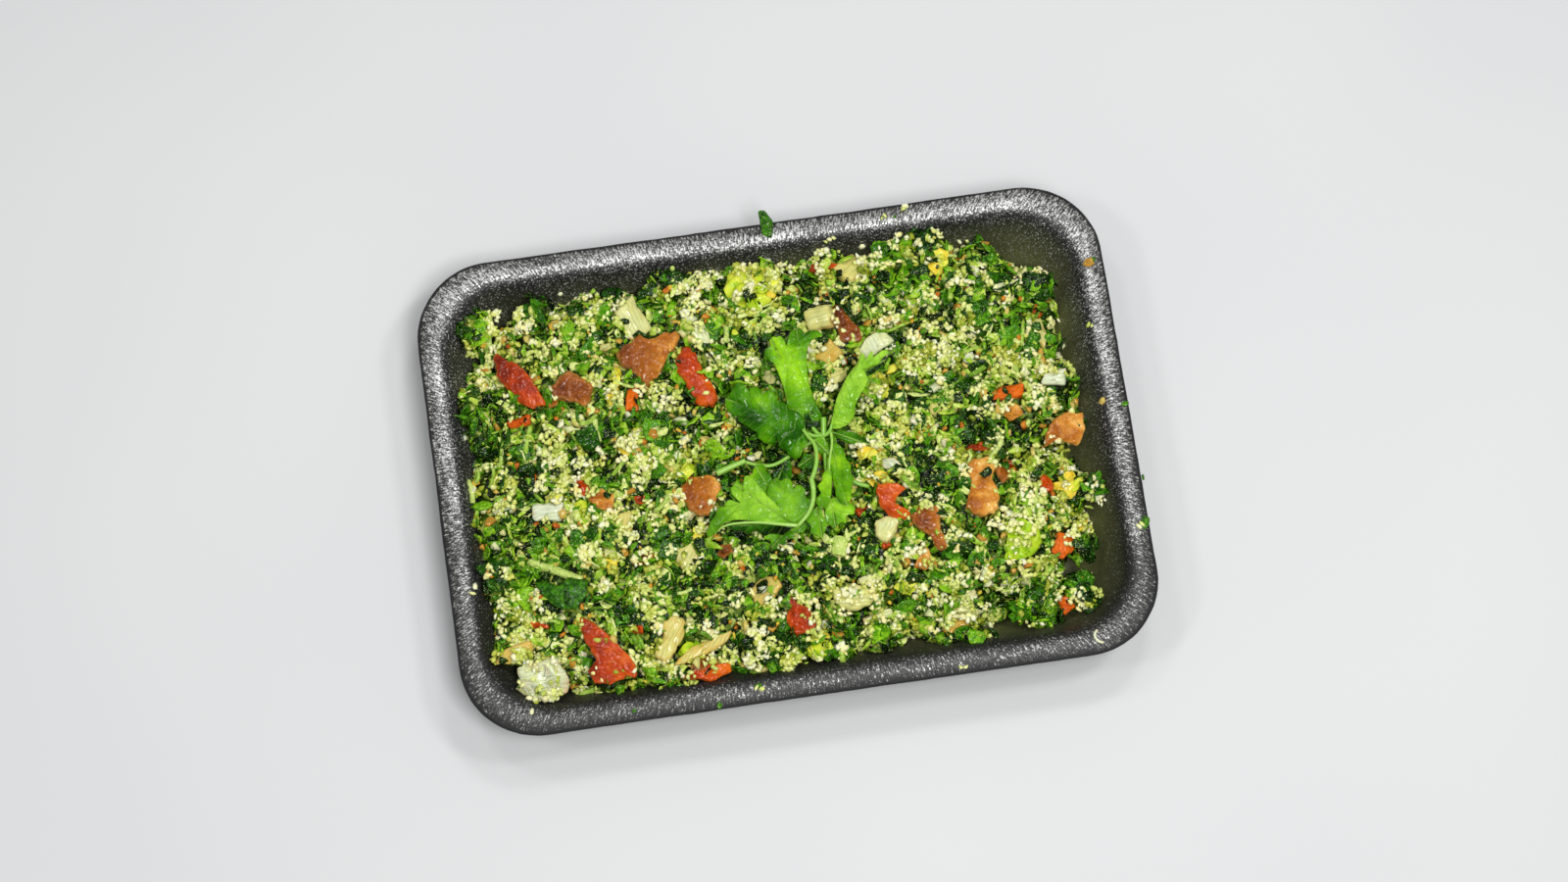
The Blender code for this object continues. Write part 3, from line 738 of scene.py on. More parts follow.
LETTUCE_CUTS = (
    (-2, 53, 18, 14, 15, 7, 2.0, 1.8, 0.66), (65, -37, 14, 12, 60, 7, 2.0, 2.6, 0.4), (31, 17, 7.5, 6.5, 80, 6, 0.8, 0.8, 0.95),
    (84.5, -33, 6, 5, 60, 5, 0.6, 1.2, 0.95), (82, -22, 8.5, 6.5, 30, 6, 0.8, 0.8, 0.95), (-62, -9, 8, 5.5, -60, 5, 0.5, 1.0, 0.6),
    (2, -59, 8, 7, 0, 6, 0.8, 0.9, 0.6), (-7, -60, 7, 6, 20, 6, 0.8, 0.9, 0.55), (30, -44, 8, 6, 0, 6, 0.6, 0.6, 0.7),
    (27, -12, 6.5, 4, -20, 5, 0.4, 1.2, 1.0), (-56, -26, 5, 3.6, 85, 4, 0.2, 1.0, 1.0), (-89, -32, 9, 4.5, 10, 5, 0.5, 1.0, 0.5),
    (-35, -54.5, 9, 5, 20, 5, 0.5, 0.9, 0.4), (24, -2, 9.5, 5, -50, 5, 0.5, 0.7, 0.92), (-48, 29, 13, 2.8, 78, 4, 0.3, 1.0, 0.95),
    (-45, 10.5, 12, 3.2, 55, 4, 0.3, 1.0, 0.92), (-29, -21, 4, 8, 5, 5, 0.5, 0.9, 0.85), (55, 52, 7, 5, 20, 5, 0.6, 0.8, 0.8),
    (-8, 40, 5, 4, 20, 5, 0.4, 0.7, 0.6), (-30, 0, 6, 5, 10, 5, 0.5, 0.7, 0.5), (-69, -4, 4, 3, 0, 5, 0.4, 1.5, 0.8),
    (75, -47, 5, 4, 10, 5, 0.5, 0.7, 0.4), (36, 22, 5, 3, 30, 5, 0.4, 0.7, 0.9), (-86, -62, 5, 3, 0, 5, 0.4, 0.5, 0.6),
)
# The same, their seventh number the ruffle's height
LEAF_CUTS = (
    (-58, -33, 8.5, 5.5, -10, 6, 0.6, 1.0, 0.55), (-70, 54, 9, 6.5, 80, 6, 0.6, 1.3, 0.4),
    (38, 57, 12, 6, 75, 6, 0.8, 1.3, 0.85), (45, 57, 9, 8, 0, 7, 0.8, 1.2, 0.7), (41, 51, 6, 5, 0, 5, 0.6, 1.3, 0.8),
    (52, 61, 8, 7, 0, 8, 1.0, 1.2, 0.12), (44, -44, 9.5, 7, 10, 6, 0.7, 1.1, 0.75), (46, -36, 8, 5, 60, 6, 0.7, 0.9, 0.5),
    (65, -56, 8, 5.5, -20, 5, 0.5, 1.1, 0.8), (83, -54, 7.5, 7.5, 0, 4, 0.5, 1.2, 0.25), (90, -22, 6, 4, 0, 6, 0.5, 0.8, 0.4),
    (-14, -56, 11, 9, 10, 6, 0.9, 1.0, 0.08), (-30, -31, 7, 5.5, 10, 6, 0.7, 0.9, 0.1), (6, -36, 9, 6.5, 30, 6, 0.7, 0.8, 0.2),
    (20, -56, 7, 5, 80, 5, 0.5, 0.9, 0.7), (-20, 56, 6, 5, 0, 5, 0.6, 0.9, 0.3), (62, 47, 8, 6, 30, 6, 0.7, 0.8, 0.15),
    (74, 44, 8, 6, -30, 6, 0.8, 0.9, 0.2), (-84, 14, 8, 6, 30, 6, 0.7, 0.8, 0.15), (59, 4, 8, 6, 10, 6, 0.7, 0.7, 0.1),
    (-30, 20, 8, 6, -20, 6, 0.7, 0.6, 0.08), (-60, 7, 8, 6, 30, 6, 0.8, 0.7, 0.1), (26, 44, 8, 7, 30, 6, 0.7, 0.5, 0.1),
    (-44, 56, 5, 6, 30, 5, 0.6, 0.9, 0.2), (72, -52, 5, 5, 20, 5, 0.6, 0.7, 0.5), (-90, -23, 6, 6, 0, 5, 0.8, 0.8, 0.1),
)
# Stalks lying in the heap: their points, radius and tone
LAID_STALKS = (
    (((-84, 47), (-83, 52), (-82, 58)), 1.1, 0.75), (((-77, 9), (-76, 15), (-74, 20)), 0.9, 0.6),
    (((-80, -20), (-72, -25), (-65, -29)), 1.5, 0.85), (((-52, 1), (-44, 8), (-34, 19)), 0.7, 0.5),
    (((48, -4), (51, -9), (53, -16)), 0.6, 0.45), (((72, -57), (72, -49)), 0.6, 0.95),
    (((8, -64), (8, -57)), 1.1, 0.6), (((69, 27), (69, 17)), 0.6, 0.9), (((-33, 52), (-22, 51.5)), 0.9, 0.6),
    (((-60, -4), (-49, -5)), 1.3, 0.8), (((36, 34), (46, 36), (52, 34)), 0.6, 0.5), (((-8, -45), (-2, -40)), 0.7, 0.5),
    (((78, 33), (76, 24)), 0.7, 0.6), (((-68, -45), (-60, -43)), 0.7, 0.7), (((46, -23), (52, -28)), 0.6, 0.6),
)
SPRING_ONION = (((12.9, -27.5), (12.2, -30), (11.2, -33)), 2.4)

# Pieces whose outline shows plainly: outline, thickness, lift, tone
RED_WEDGES = (
    (((-68, -41), (-66.5, -39.2), (-63.5, -41.5), (-58, -47.5), (-53.5, -54), (-52.5, -59.5), (-58, -60.8),
      (-65.8, -60), (-67.5, -56), (-63.5, -54.5), (-66, -48)), 4.0, 1.6, 0.5),
    (((-29, 30.5), (-27.5, 34.5), (-24, 37.5), (-22, 35), (-20.5, 29), (-17.6, 23), (-17.8, 19), (-20, 17.6),
      (-24, 19.5), (-26, 24), (-26.2, 27)), 4.0, 1.0, 0.5),
    (((26.5, -12.5), (28.2, -13.6), (31, -13.2), (34.5, -15.5), (31.5, -17.5), (30.4, -20), (34.4, -22.5), (33, -25.4),
      (28.5, -23.6), (25.8, -20), (25.4, -16)), 3.5, 1.2, 0.65),
    (((-82, 44.3), (-78, 41.5), (-73.7, 38.7), (-70.6, 33), (-68.4, 26.6), (-72.5, 25.6), (-77, 28.2), (-79.3, 32.7),
      (-81.7, 36)), 3.5, 1.4, 0.35),
)
BROWN_WEDGES = (
    (((20.6, 44), (23, 44.5), (26, 38.5), (29, 33.5), (27, 31), (21.3, 31.8), (20.8, 38)), 3.5, 0.8, 0.12),
    (((-45.9, 38.7), (-38.5, 43.2), (-34.9, 41), (-31, 42.5), (-26, 43.3), (-25.8, 39.8), (-31, 34), (-37, 25.8),
      (-41.5, 31.6), (-45.4, 35.2)), 4.5, 1.0, 0.42),
    (((-66.3, 31), (-63, 34.3), (-60.2, 35.9), (-53.3, 30), (-56.6, 23.2), (-59.2, 25.3), (-66.5, 28)), 4.0, 1.0, 0.25),
    (((-32.4, -5.3), (-28.7, -2.7), (-20.7, -3.4), (-20, -8.6), (-25, -16.2), (-28.5, -14.4), (-32.7, -10.7)), 4.5, 1.2, 0.5),
    (((53.3, -11.4), (55, -9.2), (61, -8.6), (62.8, -11.8), (60.4, -16), (61.9, -20), (60.4, -26.7), (55, -26.7),
      (50.8, -24.3), (54.1, -16)), 4.0, 1.2, 0.68),
    (((79, -2.9), (82, 0.1), (85.6, 1.6), (90.2, 0.4), (90.4, -5.6), (88.6, -9.2), (82, -6.3), (77.3, -8.1)), 4.0, 1.0, 0.66),
    (((34, -24.2), (36.8, -21.7), (41.6, -21.9), (43.5, -25), (42.4, -29), (43.7, -35.9), (40.3, -35.9), (39.2, -31.3),
      (35.8, -28.4)), 3.5, 1.0, 0.3),
)
ONION_WEDGES = (
    (((23.7, -23.7), (28, -22.9), (31, -24.8), (29.6, -28.5), (26.3, -31.4), (22.9, -28.9)), 4.0, 1.2, 0.6),
    (((-35.9, -23.4), (-31.5, -22.6), (-29.3, -26.8), (-31.2, -30.4), (-33.8, -31.9), (-36.5, -27.6)), 4.0, 1.2, 0.5),
    (((-43, -44), (-40, -43), (-37, -45), (-37, -48.7), (-40, -53), (-43, -57), (-47, -56), (-47, -53), (-44, -49.8)),
     2.6, 1.6, 0.36),
    (((-40, -56), (-35.8, -52.8), (-28.9, -51), (-23, -49.4), (-23.8, -51.7), (-28.5, -54.8), (-34.5, -56.8), (-42, -58)),
     2.2, 1.8, 0.32),
)
STRIPED_SLICE = (
    (((26.2, 28.8), (27.5, 30.8), (30, 33.3), (33.3, 34.6), (35.2, 33.8), (37.7, 30.8), (36, 29.8), (33.5, 28.5),
      (30.5, 26.3), (28, 26.6)), 1.8, 1.6, 0.8),
)
# Leaves whose outline shows plainly: outline, ruffle, thickness, lift, tone
WHITE_LEAF = (((-88, -51.5), (-83, -51), (-76, -50), (-73, -56), (-73.5, -61), (-79, -61.5), (-84, -62.5), (-87, -58)),
              1.6, 0.8, 2.0, 0.85)
BROAD_LEAF = (((-79.4, -27.6), (-75.8, -27.7), (-71.9, -30.6), (-68.7, -27.7), (-62.9, -30), (-63.9, -34.2), (-67.7, -38),
               (-73.2, -36.7), (-76.5, -33)), 1.2, 0.4, 2.2, 0.42)

# Where herbs lie thick and where grains do: x, y, radius and strength
HERB_PATCHES = (
    (-88, 26, 9, 0.5), (-84, 14, 9, 0.5), (-60, 8, 11, 0.5), (-45, 30, 7, 0.3), (-31, 18, 9, 0.6), (-30, 32, 5, 0.3),
    (-85, -14, 9, 0.4), (-70, -33, 10, 0.5), (-30, -32, 7, 0.5), (-14, -56, 9, 0.6), (6, -35, 9, 0.5), (2, -29, 6, 0.4),
    (62, 44, 14, 0.45), (76, 40, 9, 0.3), (44, 56, 10, 0.6), (52, 12, 9, 0.3), (60, 4, 9, 0.4), (48, -2, 7, 0.4),
    (45, -43, 8, 0.5), (68, -50, 9, 0.4), (85, -48, 8, 0.5), (-28, 50, 9, 0.3), (-10, -27, 7, 0.3), (-70, 50, 6, 0.4),
    (22, 46, 7, 0.3), (30, -60, 7, 0.3), (-52, -34, 7, 0.3), (8, -7, 14, 0.6), (-8, 6, 8, 0.4), (-88, -24, 7, 0.5),
    (30, 40, 6, 0.3), (75, 52, 8, 0.3), (55, -52, 6, 0.4), (-40, 12, 6, 0.3),
)
GRAIN_PATCHES = (
    (-78, 46, 9, 0.4), (-60, 44, 10, 0.4), (-91, 50, 6, 0.4), (-92, 2, 6, 0.5), (-73, 2, 10, 0.4), (-90, -14, 5, 0.5),
    (-45, 0, 10, 0.25), (-64, 17, 9, 0.3), (-80, -43, 9, 0.5), (-79, -56, 8, 0.5), (-52, -42, 8, 0.4), (-40, -34, 8, 0.3),
    (-10, 33, 10, 0.4), (12, 50, 6, 0.3), (33, 8, 10, 0.4), (42, 20, 10, 0.4), (22, 12, 6, 0.3), (50, 28, 8, 0.3),
    (-45, -17, 8, 0.4), (-25, 8, 7, 0.2), (18, -47, 9, 0.5), (47, -52, 7, 0.5), (-25, -42, 8, 0.3), (30, -22, 7, 0.3),
    (72, -10, 7, 0.2), (62, 22, 9, 0.3), (70, 12, 8, 0.3), (-50, -58, 6, 0.5), (-38, 22, 5, 0.2), (84, 45, 6, 0.4),
    (66, -30, 8, 0.2), (22, -58, 7, 0.4), (-15, 45, 7, 0.2), (63, 58, 5, 0.5), (-20, -20, 6, 0.2), (86, -12, 5, 0.4),
)


def herb_share(spots):
    """How much of the salad is herbs rather than grain at each spot, from 0 to 1."""
    share = 0.5 + 1.1 * wobble(spots / MM * (1, 1, 0.5), 8.5, 9)
    for sign, patches in ((1, HERB_PATCHES), (-1, GRAIN_PATCHES)):
        for x, y, radius, strength in patches:
            away = np.hypot(spots[:, 0] / MM - x, spots[:, 1] / MM - y) / radius
            share += 1.25 * sign * strength * np.exp(-away ** 2)
    return np.clip(share, 0.04, 0.96)


# Where little is strewn, x, y and radius: where large pieces lie bare, and under the sprig at (4, -6), (11, 10) and
# (20, -18), where the dark core is left to show as painted shade in the hollow
BARE_PATCHES = (
    (4, -6, 8), (11, 10, 5), (20, -18, 4.5), (17, 1, 3.5), (-2, 53, 12), (65, -37, 8), (69, 9, 4.5), (76, -20, 4),
    (-79, 38, 6), (-73, 31, 6), (70, 3, 4), (-43, 24, 4), (-56, -6, 3), (30, -19, 6), (-80, -56, 7), (-71, -32, 8),
    (-60, -54, 8), (-65, -45, 5), (-37, 37, 8), (-23, 30, 7), (-21, 22, 5), (-40, 49, 6), (17, 40, 4), (25, 37, 5),
    (32, 31, 7), (84, 12, 5), (-72, -7, 4), (-26, -8, 7), (57, -13, 7), (57, -23, 7), (84, -3, 6), (78, -38, 6.5),
    (44, 57, 6), (-60, 30, 6), (12, -31, 4), (-3, -48, 5), (28, 55, 4), (39, -28, 5), (-42, -50, 5), (-32, -54, 5),
    (-33, -27, 4), (27, -26, 4), (18, 29, 3.5), (31, 17, 4),
)


def bare_share(spots):
    """How little is strewn at each spot, from 0 to 1."""
    share = np.zeros(len(spots))
    for x, y, radius in BARE_PATCHES:
        away = np.hypot(spots[:, 0] / MM - x, spots[:, 1] / MM - y) / radius
        share = np.maximum(share, np.exp(-away ** 4))
    return 0.9 * share


def cut_pieces(ground, chance, cuts, bow=0.0):
    """Knife-cut slabs laid where a list says."""
    parts = []
    for x, y, length, width, turn, corners, thick, lift, tone in cuts:
        outline = knife_outline(chance, length, width, turn, corners)
        part = slab(chance, outline, thick, turn, bow / max(width, 3))
        lean = chance.uniform(-0.16, 0.16, 2)
        parts.append(set_down(ground, part, x, y, lift, tone, lean))
    return parts


def wedge_pieces(ground, chance, wedges, turn=0.0):
    """Slabs with an outline of their own, laid where it lies, ruled along `turn`."""
    parts = []
    for corners, thick, lift, tone in wedges:
        corners = np.array(corners)
        middle = (corners.max(axis=0) + corners.min(axis=0)) / 2
        part = slab(chance, corners - middle, thick, turn, count=44)
        parts.append(set_down(ground, part, *middle, lift, tone))
    return parts


def leafy_pieces(ground, chance, cuts, wave=3.0):
    """Ruffled pieces of leaf laid where a list says."""
    parts = []
    for x, y, length, width, turn, corners, ruffle, lift, tone in cuts:
        outline = knife_outline(chance, length, width, turn, corners)
        part = leaf_piece(chance, outline, ruffle, wave=wave)
        lean = chance.uniform(-0.2, 0.2, 2)
        parts.append(set_down(ground, part, x, y, lift, tone, lean))
    return parts


def broad_leaf(ground, chance, leaf):
    """A ruffled leaf with an outline of its own, laid where it lies, and the middle of its outline."""
    corners, ruffle, thick, lift, tone = leaf
    corners = np.array(corners)
    middle = (corners.max(axis=0) + corners.min(axis=0)) / 2
    part = leaf_piece(chance, corners - middle, ruffle, thick=thick, count=44, rings=10, wave=3.6, crown=1.5)
    return set_down(ground, part, *middle, lift, tone), middle


def tufts(ground, chance, cuts, least, sizes, lift):
    """Crumpled shreds heaped where a list says, as many as the place is large, if it's `least` across or more."""
    shreds = scrap_shapes(chance, 12, 10, 3, 0.09, 0.75, 0.13)
    parts = []
    for x, y, length, width, turn, *_, tone in cuts:
        if length < least:
            continue
        count = round(length * width / 9) + 2
        angle, away = chance.uniform(0, 2 * math.pi, count), np.sqrt(chance.random(count)) * 0.4
        plan = turned(np.column_stack([np.cos(angle) * away * length, np.sin(angle) * away * width]), turn) + (x, y)
        found = [ground.rest(*(point * MM), 2 * MM) for point in plan]
        spots, normals = (np.array(values) for values in zip(*found))
        tones = np.clip(tone + chance.uniform(-0.3, 0.3, count), 0, 1)
        raised = lift + chance.uniform(-0.4, 1.2, count)
        parts.append(strew(shreds, chance, spots, normals, chance.uniform(*sizes, count), 0.6, raised, tones))
    return parts


def laid_stalks(ground, chance):
    """Longer stalks lying over the heap, following its ups and downs."""
    parts = []
    for corners, radius, tone in LAID_STALKS:
        route = smooth_route(np.column_stack([corners, np.zeros(len(corners))]), 4)
        for point in route:
            point[2] = ground.rest(point[0] * MM, point[1] * MM, 2 * MM)[0][2] / MM + 0.35 * radius + 0.3
        taper = np.linspace(1.0, 0.8, len(route)) * radius
        points, faces = tube(route, taper, sides=10, ridges=0.05)
        local = np.column_stack([route[:, 0].mean() - points[:, 0], points[:, 1]])
        marks = {"tone": np.full(len(points), tone), "edge": np.zeros(len(points))}
        marks |= {"along": local[:, 0] * MM, "across": local[:, 1] * MM}
        parts.append((points * MM, faces, marks))
    return parts


# ------------------------------------------------------------------ loose chopped pieces

GRAIN_RADIUS = (0.55, 1.15)
CLUSTER_GRAINS = (2, 16)


def covered_spots(skin, laid, count, chance, keep, on_laid):
    """Spots strewn over the heap, `keep` weighing each place; where a laid piece lies over one, few stay, on top."""
    spots, normals = spread_over(skin, count * 3, chance)
    weight = keep(spots)
    chosen = chance.choice(len(spots), size=count, replace=False, p=weight / weight.sum())
    spots, normals = spots[chosen], normals[chosen]
    stays = np.ones(count, bool)
    draws = chance.random(count)
    for i, spot in enumerate(spots):
        hit = laid.below(spot[0], spot[1])
        if hit is None or hit[0][2] < spot[2] + 0.2 * MM:
            continue
        stays[i] = draws[i] < on_laid
        spots[i], normals[i] = hit
    return spots[stays], normals[stays]


def sunken(outer, spots):
    """How deep each spot lies under the heap's outline, in millimetres."""
    return np.array([outer.find_nearest(Vector(spot))[3] for spot in spots]) / MM


def clustered(spots, normals, chance, each):
    """Places and tones of grains that stick together in little mounds round each spot."""
    grown_spots, grown_normals, tones = [], [], []
    for spot, normal in zip(spots, normals):
        count = each[0] + int((each[1] - each[0]) * chance.random() ** 1.4)
        reach = 0.68 * math.sqrt(count)
        side = unit(np.cross(normal, chance.normal(size=3)))
        angle = chance.uniform(0, 2 * math.pi, count)
        away = reach * np.sqrt(chance.random(count))
        flat = side * np.cos(angle)[:, None] + np.cross(normal, side) * np.sin(angle)[:, None]
        rise_up = 0.42 * reach * (1 - (away / reach) ** 2) + chance.uniform(-0.3, 0.3, count)
        grown_spots.append(spot + (flat * away[:, None] + normal * rise_up[:, None]) * MM)
        grown_normals.append(np.broadcast_to(normal, (count, 3)))
        tones.append(np.clip(chance.random() + chance.uniform(-0.3, 0.3, count), 0, 1))
    return np.concatenate(grown_spots), np.concatenate(grown_normals), np.concatenate(tones)


def strew_kind(name, shapes, finish, heap, seed, count, keep, sizes, tilt, lift, on_laid, each=None, stuck=0):
    """One kind of loose piece strewn over the heap, `stuck` more of it on the edges of what is laid there."""
    chance = np.random.default_rng(seed)
    skin, laid, cuts, _, foam = heap
    spots, normals = covered_spots(skin, laid, count, chance, keep, on_laid)
    if stuck:
        more_spots, more_normals = spread_over(cuts, stuck, chance, 0.1, 0.85)
        spots, normals = np.vstack([spots, more_spots]), np.vstack([normals, more_normals])
    if each:
        spots, normals, tones = clustered(spots, normals, chance, each)
    else:
        patch = 0.35 * wobble(spots / MM, 6.0, seed)
        tones = np.clip(chance.random(len(spots)) ** 1.2 + patch, 0, 1)
    held = clear_of_walls(spots, foam)
    spots, normals, tones = spots[held], normals[held], tones[held]
    size = sizes[0] + (sizes[1] - sizes[0]) * chance.random(len(spots)) ** 1.5
    raised = chance.uniform(*lift, len(spots))
    points, faces, marks = strew(shapes, chance, spots, normals, size, tilt, raised, tones)
    return add_piece(name, points, faces, finish, marks)


def loose_pieces(heap):
    """Everything strewn over the core and the laid pieces."""
    chance = np.random.default_rng(31)
    grains = bulgur_shapes(chance, 16)
    small_scraps = scrap_shapes(chance, 24, 7, 1, 0.16, 0.5, 0.06)
    large_scraps = scrap_shapes(chance, 18, 8, 2, 0.10, 0.45, 0.10)
    chips = scrap_shapes(chance, 16, 5, 1, 0.5, 0.08, 0.03)
    strips = scrap_shapes(chance, 20, 8, 2, 0.12, 0.4, 0.08, (0.2, 0.42))
    ends = stalk_shapes(chance, 10)

    outer = heap[3]

    def grainy(spots):
        high = np.clip(1.3 - 0.42 * sunken(outer, spots), 0.08, 1)
        return high * (1.0 - herb_share(spots)) ** 2.0 * (1 - bare_share(spots))

    def herby(spots):
        low = 0.5 + 0.4 * sunken(outer, spots)
        return low * (0.2 + herb_share(spots)) * (1 - bare_share(spots))

    def patchy(seed):
        def keep(spots):
            high = np.clip(1.4 - 0.35 * sunken(outer, spots), 0.1, 1)
            return high * np.clip(0.5 + wobble(spots / MM, 9.0, seed), 0.05, 1) ** 1.5 * (1 - bare_share(spots))
        return keep

    strew_kind("parsley_chopped_dark", small_scraps, wet_parsley("chopped_parsley_wet", DARK_HERB), heap, 41,
               4100, herby, (0.9, 3.0), 0.55, (-0.2, 0.9), 0.05, None, 160)
    strew_kind("parsley_chopped_large", large_scraps, wet_parsley("chopped_parsley_leaf", MIXED_HERB), heap, 42,
               1300, herby, (2.0, 4.6), 0.4, (0.4, 1.5), 0.02, None, 30)
    strew_kind("parsley_chopped_bright", small_scraps, wet_parsley("chopped_parsley_fresh", BRIGHT_HERB), heap, 43,
               1900, patchy(3), (0.8, 2.6), 0.55, (0.4, 1.5), 0.06)
    strew_kind("parsley_strips", strips, wet_parsley("parsley_strip", STRIP_HERB), heap, 49,
               1500, patchy(5), (1.6, 4.0), 0.35, (0.5, 1.6), 0.05)
    strew_kind("bulgur_pale", grains, swollen_bulgur("swollen_bulgur", PALE_GRAIN), heap, 44,
               1030, grainy, GRAIN_RADIUS, 0.8, (0.2, 1.2), 0.3, CLUSTER_GRAINS, 360)
    strew_kind("bulgur_herbed", grains, swollen_bulgur("herb_stained_bulgur", HERBED_GRAIN), heap, 45,
               600, grainy, GRAIN_RADIUS, 0.8, (0.0, 1.0), 0.15, CLUSTER_GRAINS, 150)
    strew_kind("parsley_stalk_ends", ends, wet_parsley("chopped_stalk", STALK_GREEN), heap, 46,
               450, patchy(7), (1.4, 3.6), 0.35, (0.6, 1.6), 0.05)
    strew_kind("onion_chips", chips, bpy.data.materials["sliced_onion"], heap, 47,
               700, patchy(2), (0.9, 2.6), 0.5, (0.6, 1.4), 0.05)
    strew_kind("tomato_crumbs", grains, tomato("tomato_crumb", CRUMB_TOMATO, "#f0b040", 0.2), heap, 48,
               420, patchy(8), (0.5, 1.3), 0.6, (0.5, 1.3), 0.1)


# ------------------------------------------------------------------ finishes of the ingredients

PALE_GRAIN = ((0.0, "#bcca58"), (0.25, "#e0ea84"), (0.55, "#f8f8a8"), (0.85, "#fefee0"), (1.0, "#faee90"))
HERBED_GRAIN = ((0.0, "#788c14"), (0.3, "#b0b838"), (0.65, "#dce06c"), (1.0, "#f4f6ac"))
DARK_HERB = ((0.0, "#041002"), (0.38, "#163605"), (0.65, "#30620a"), (0.87, "#5a9010"), (1.0, "#90ba24"))
MIXED_HERB = ((0.0, "#081c02"), (0.35, "#205207"), (0.7, "#4e920c"), (1.0, "#92c81e"))
BRIGHT_HERB = ((0.0, "#3c7c08"), (0.35, "#78ac18"), (0.7, "#c0d84c"), (1.0, "#eaf29c"))
CRUMB_TOMATO = ((0.0, "#a83008"), (0.3, "#cc6a1c"), (0.6, "#e0a030"), (1.0, "#eed44c"))
STRIP_HERB = ((0.0, "#2e6a0a"), (0.3, "#5a9a12"), (0.6, "#92c020"), (0.85, "#c4dc50"), (1.0, "#e0ec94"))
STALK_GREEN = ((0.0, "#5b8a1e"), (0.5, "#98c03c"), (1.0, "#d0e080"))


def swollen_bulgur(name, tints):
    """Bulgur, cracked durum wheat soaked in lemon and oil: pale, slightly see-through, oily and creased."""
    finish, tree, shader = new_finish(name, {
        "Roughness": 0.45, "IOR": 1.45, "Specular IOR Level": 0.15, "Coat Weight": 0.6, "Coat Roughness": 0.08, "Coat IOR": 1.36,
        "Subsurface Weight": 0.18, "Subsurface Radius": (1.0 * MM, 0.8 * MM, 0.4 * MM), "Subsurface Scale": 1.0})
    place = node(tree, "TexCoord").outputs["Object"]
    tone = node(tree, "Attribute", attribute_name="tone").outputs["Fac"]
    # Bran creases and pits a third of a millimetre apart, a little darker than the grain
    crease = node(tree, "TexNoise", {"Vector": place, "Scale": 1 / (0.35 * MM), "Detail": 1.0}).outputs["Fac"]
    pitted = node(tree, "Math", {0: crease, 1: 0.7, 2: -0.35}, operation="MULTIPLY_ADD").outputs[0]
    mottled = node(tree, "Math", {0: tone, 1: pitted}, operation="ADD").outputs[0]
    tint = node(tree, "ValToRGB", {"Fac": mottled}, stops=tints).outputs[0]
    # Herb juice takes in smears of about 2 mm
    smear = node(tree, "TexNoise", {"Vector": place, "Scale": 1 / (2.2 * MM), "Detail": 2.0}).outputs["Fac"]
    stained = node(tree, "MapRange", {"Value": smear, "From Min": 0.54, "From Max": 0.74, "To Max": 0.5}).outputs[0]
    green = node(tree, "Mix", {0: stained, 6: tint, 7: linear("#a8b83c")}, data_type="RGBA")
    tree.links.new(green.outputs[2], shader.inputs["Base Color"])
    relief = node(tree, "Bump", {"Height": crease, "Strength": 0.45, "Distance": 0.2 * MM})
    tree.links.new(relief.outputs[0], shader.inputs["Normal"])
    tree.links.new(relief.outputs[0], shader.inputs["Coat Normal"])
    return finish


def wet_parsley(name, tints, crumbs_and_glints=0.8):
    """Flat-leaf parsley, chopped and dressed: waxy leaf under a film of juice, wrinkled, with sharp small glints."""
    finish, tree, shader = new_finish(name, {
        "Roughness": 0.45, "IOR": 1.42, "Specular IOR Level": 0.0, "Coat Weight": 0.75, "Coat Roughness": 0.06, "Coat IOR": 1.4})
    place = node(tree, "TexCoord").outputs["Object"]
    tone = node(tree, "Attribute", attribute_name="tone").outputs["Fac"]
    blotch = node(tree, "TexNoise", {"Vector": place, "Scale": 1 / (1.2 * MM), "Detail": 2.0}).outputs["Fac"]
    mixed = node(tree, "Math", {0: blotch, 1: 1.0, 2: -0.5}, operation="MULTIPLY_ADD").outputs[0]
    summed = node(tree, "Math", {0: tone, 1: mixed}, operation="ADD").outputs[0]
    tint = node(tree, "ValToRGB", {"Fac": summed}, stops=tints).outputs[0]
    # Crumbs of bulgur under half a millimetre across cling to it, and pale specks of the same size are painted
    # highlights on drops of dressing
    clinging = node(tree, "TexNoise", {"Vector": place, "Scale": 1 / (0.45 * MM), "Detail": 0.0}).outputs["Fac"]
    crumb_and_glint_specks = node(tree, "MapRange", {"Value": clinging, "From Min": 0.70, "From Max": 0.76, "To Max": crumbs_and_glints}).outputs[0]
    speckled = node(tree, "Mix", {0: crumb_and_glint_specks, 6: tint, 7: linear("#c6dc86")}, data_type="RGBA").outputs[2]
    tree.links.new(speckled, shader.inputs["Base Color"])
    # Leaf wrinkles 0.9 mm apart
    wrinkle = node(tree, "TexNoise", {"Vector": place, "Scale": 1 / (0.9 * MM), "Detail": 0.8}).outputs["Fac"]
    relief = node(tree, "Bump", {"Height": wrinkle, "Strength": 1.0, "Distance": 0.6 * MM})
    tree.links.new(relief.outputs[0], shader.inputs["Normal"])
    tree.links.new(relief.outputs[0], shader.inputs["Coat Normal"])
    return finish


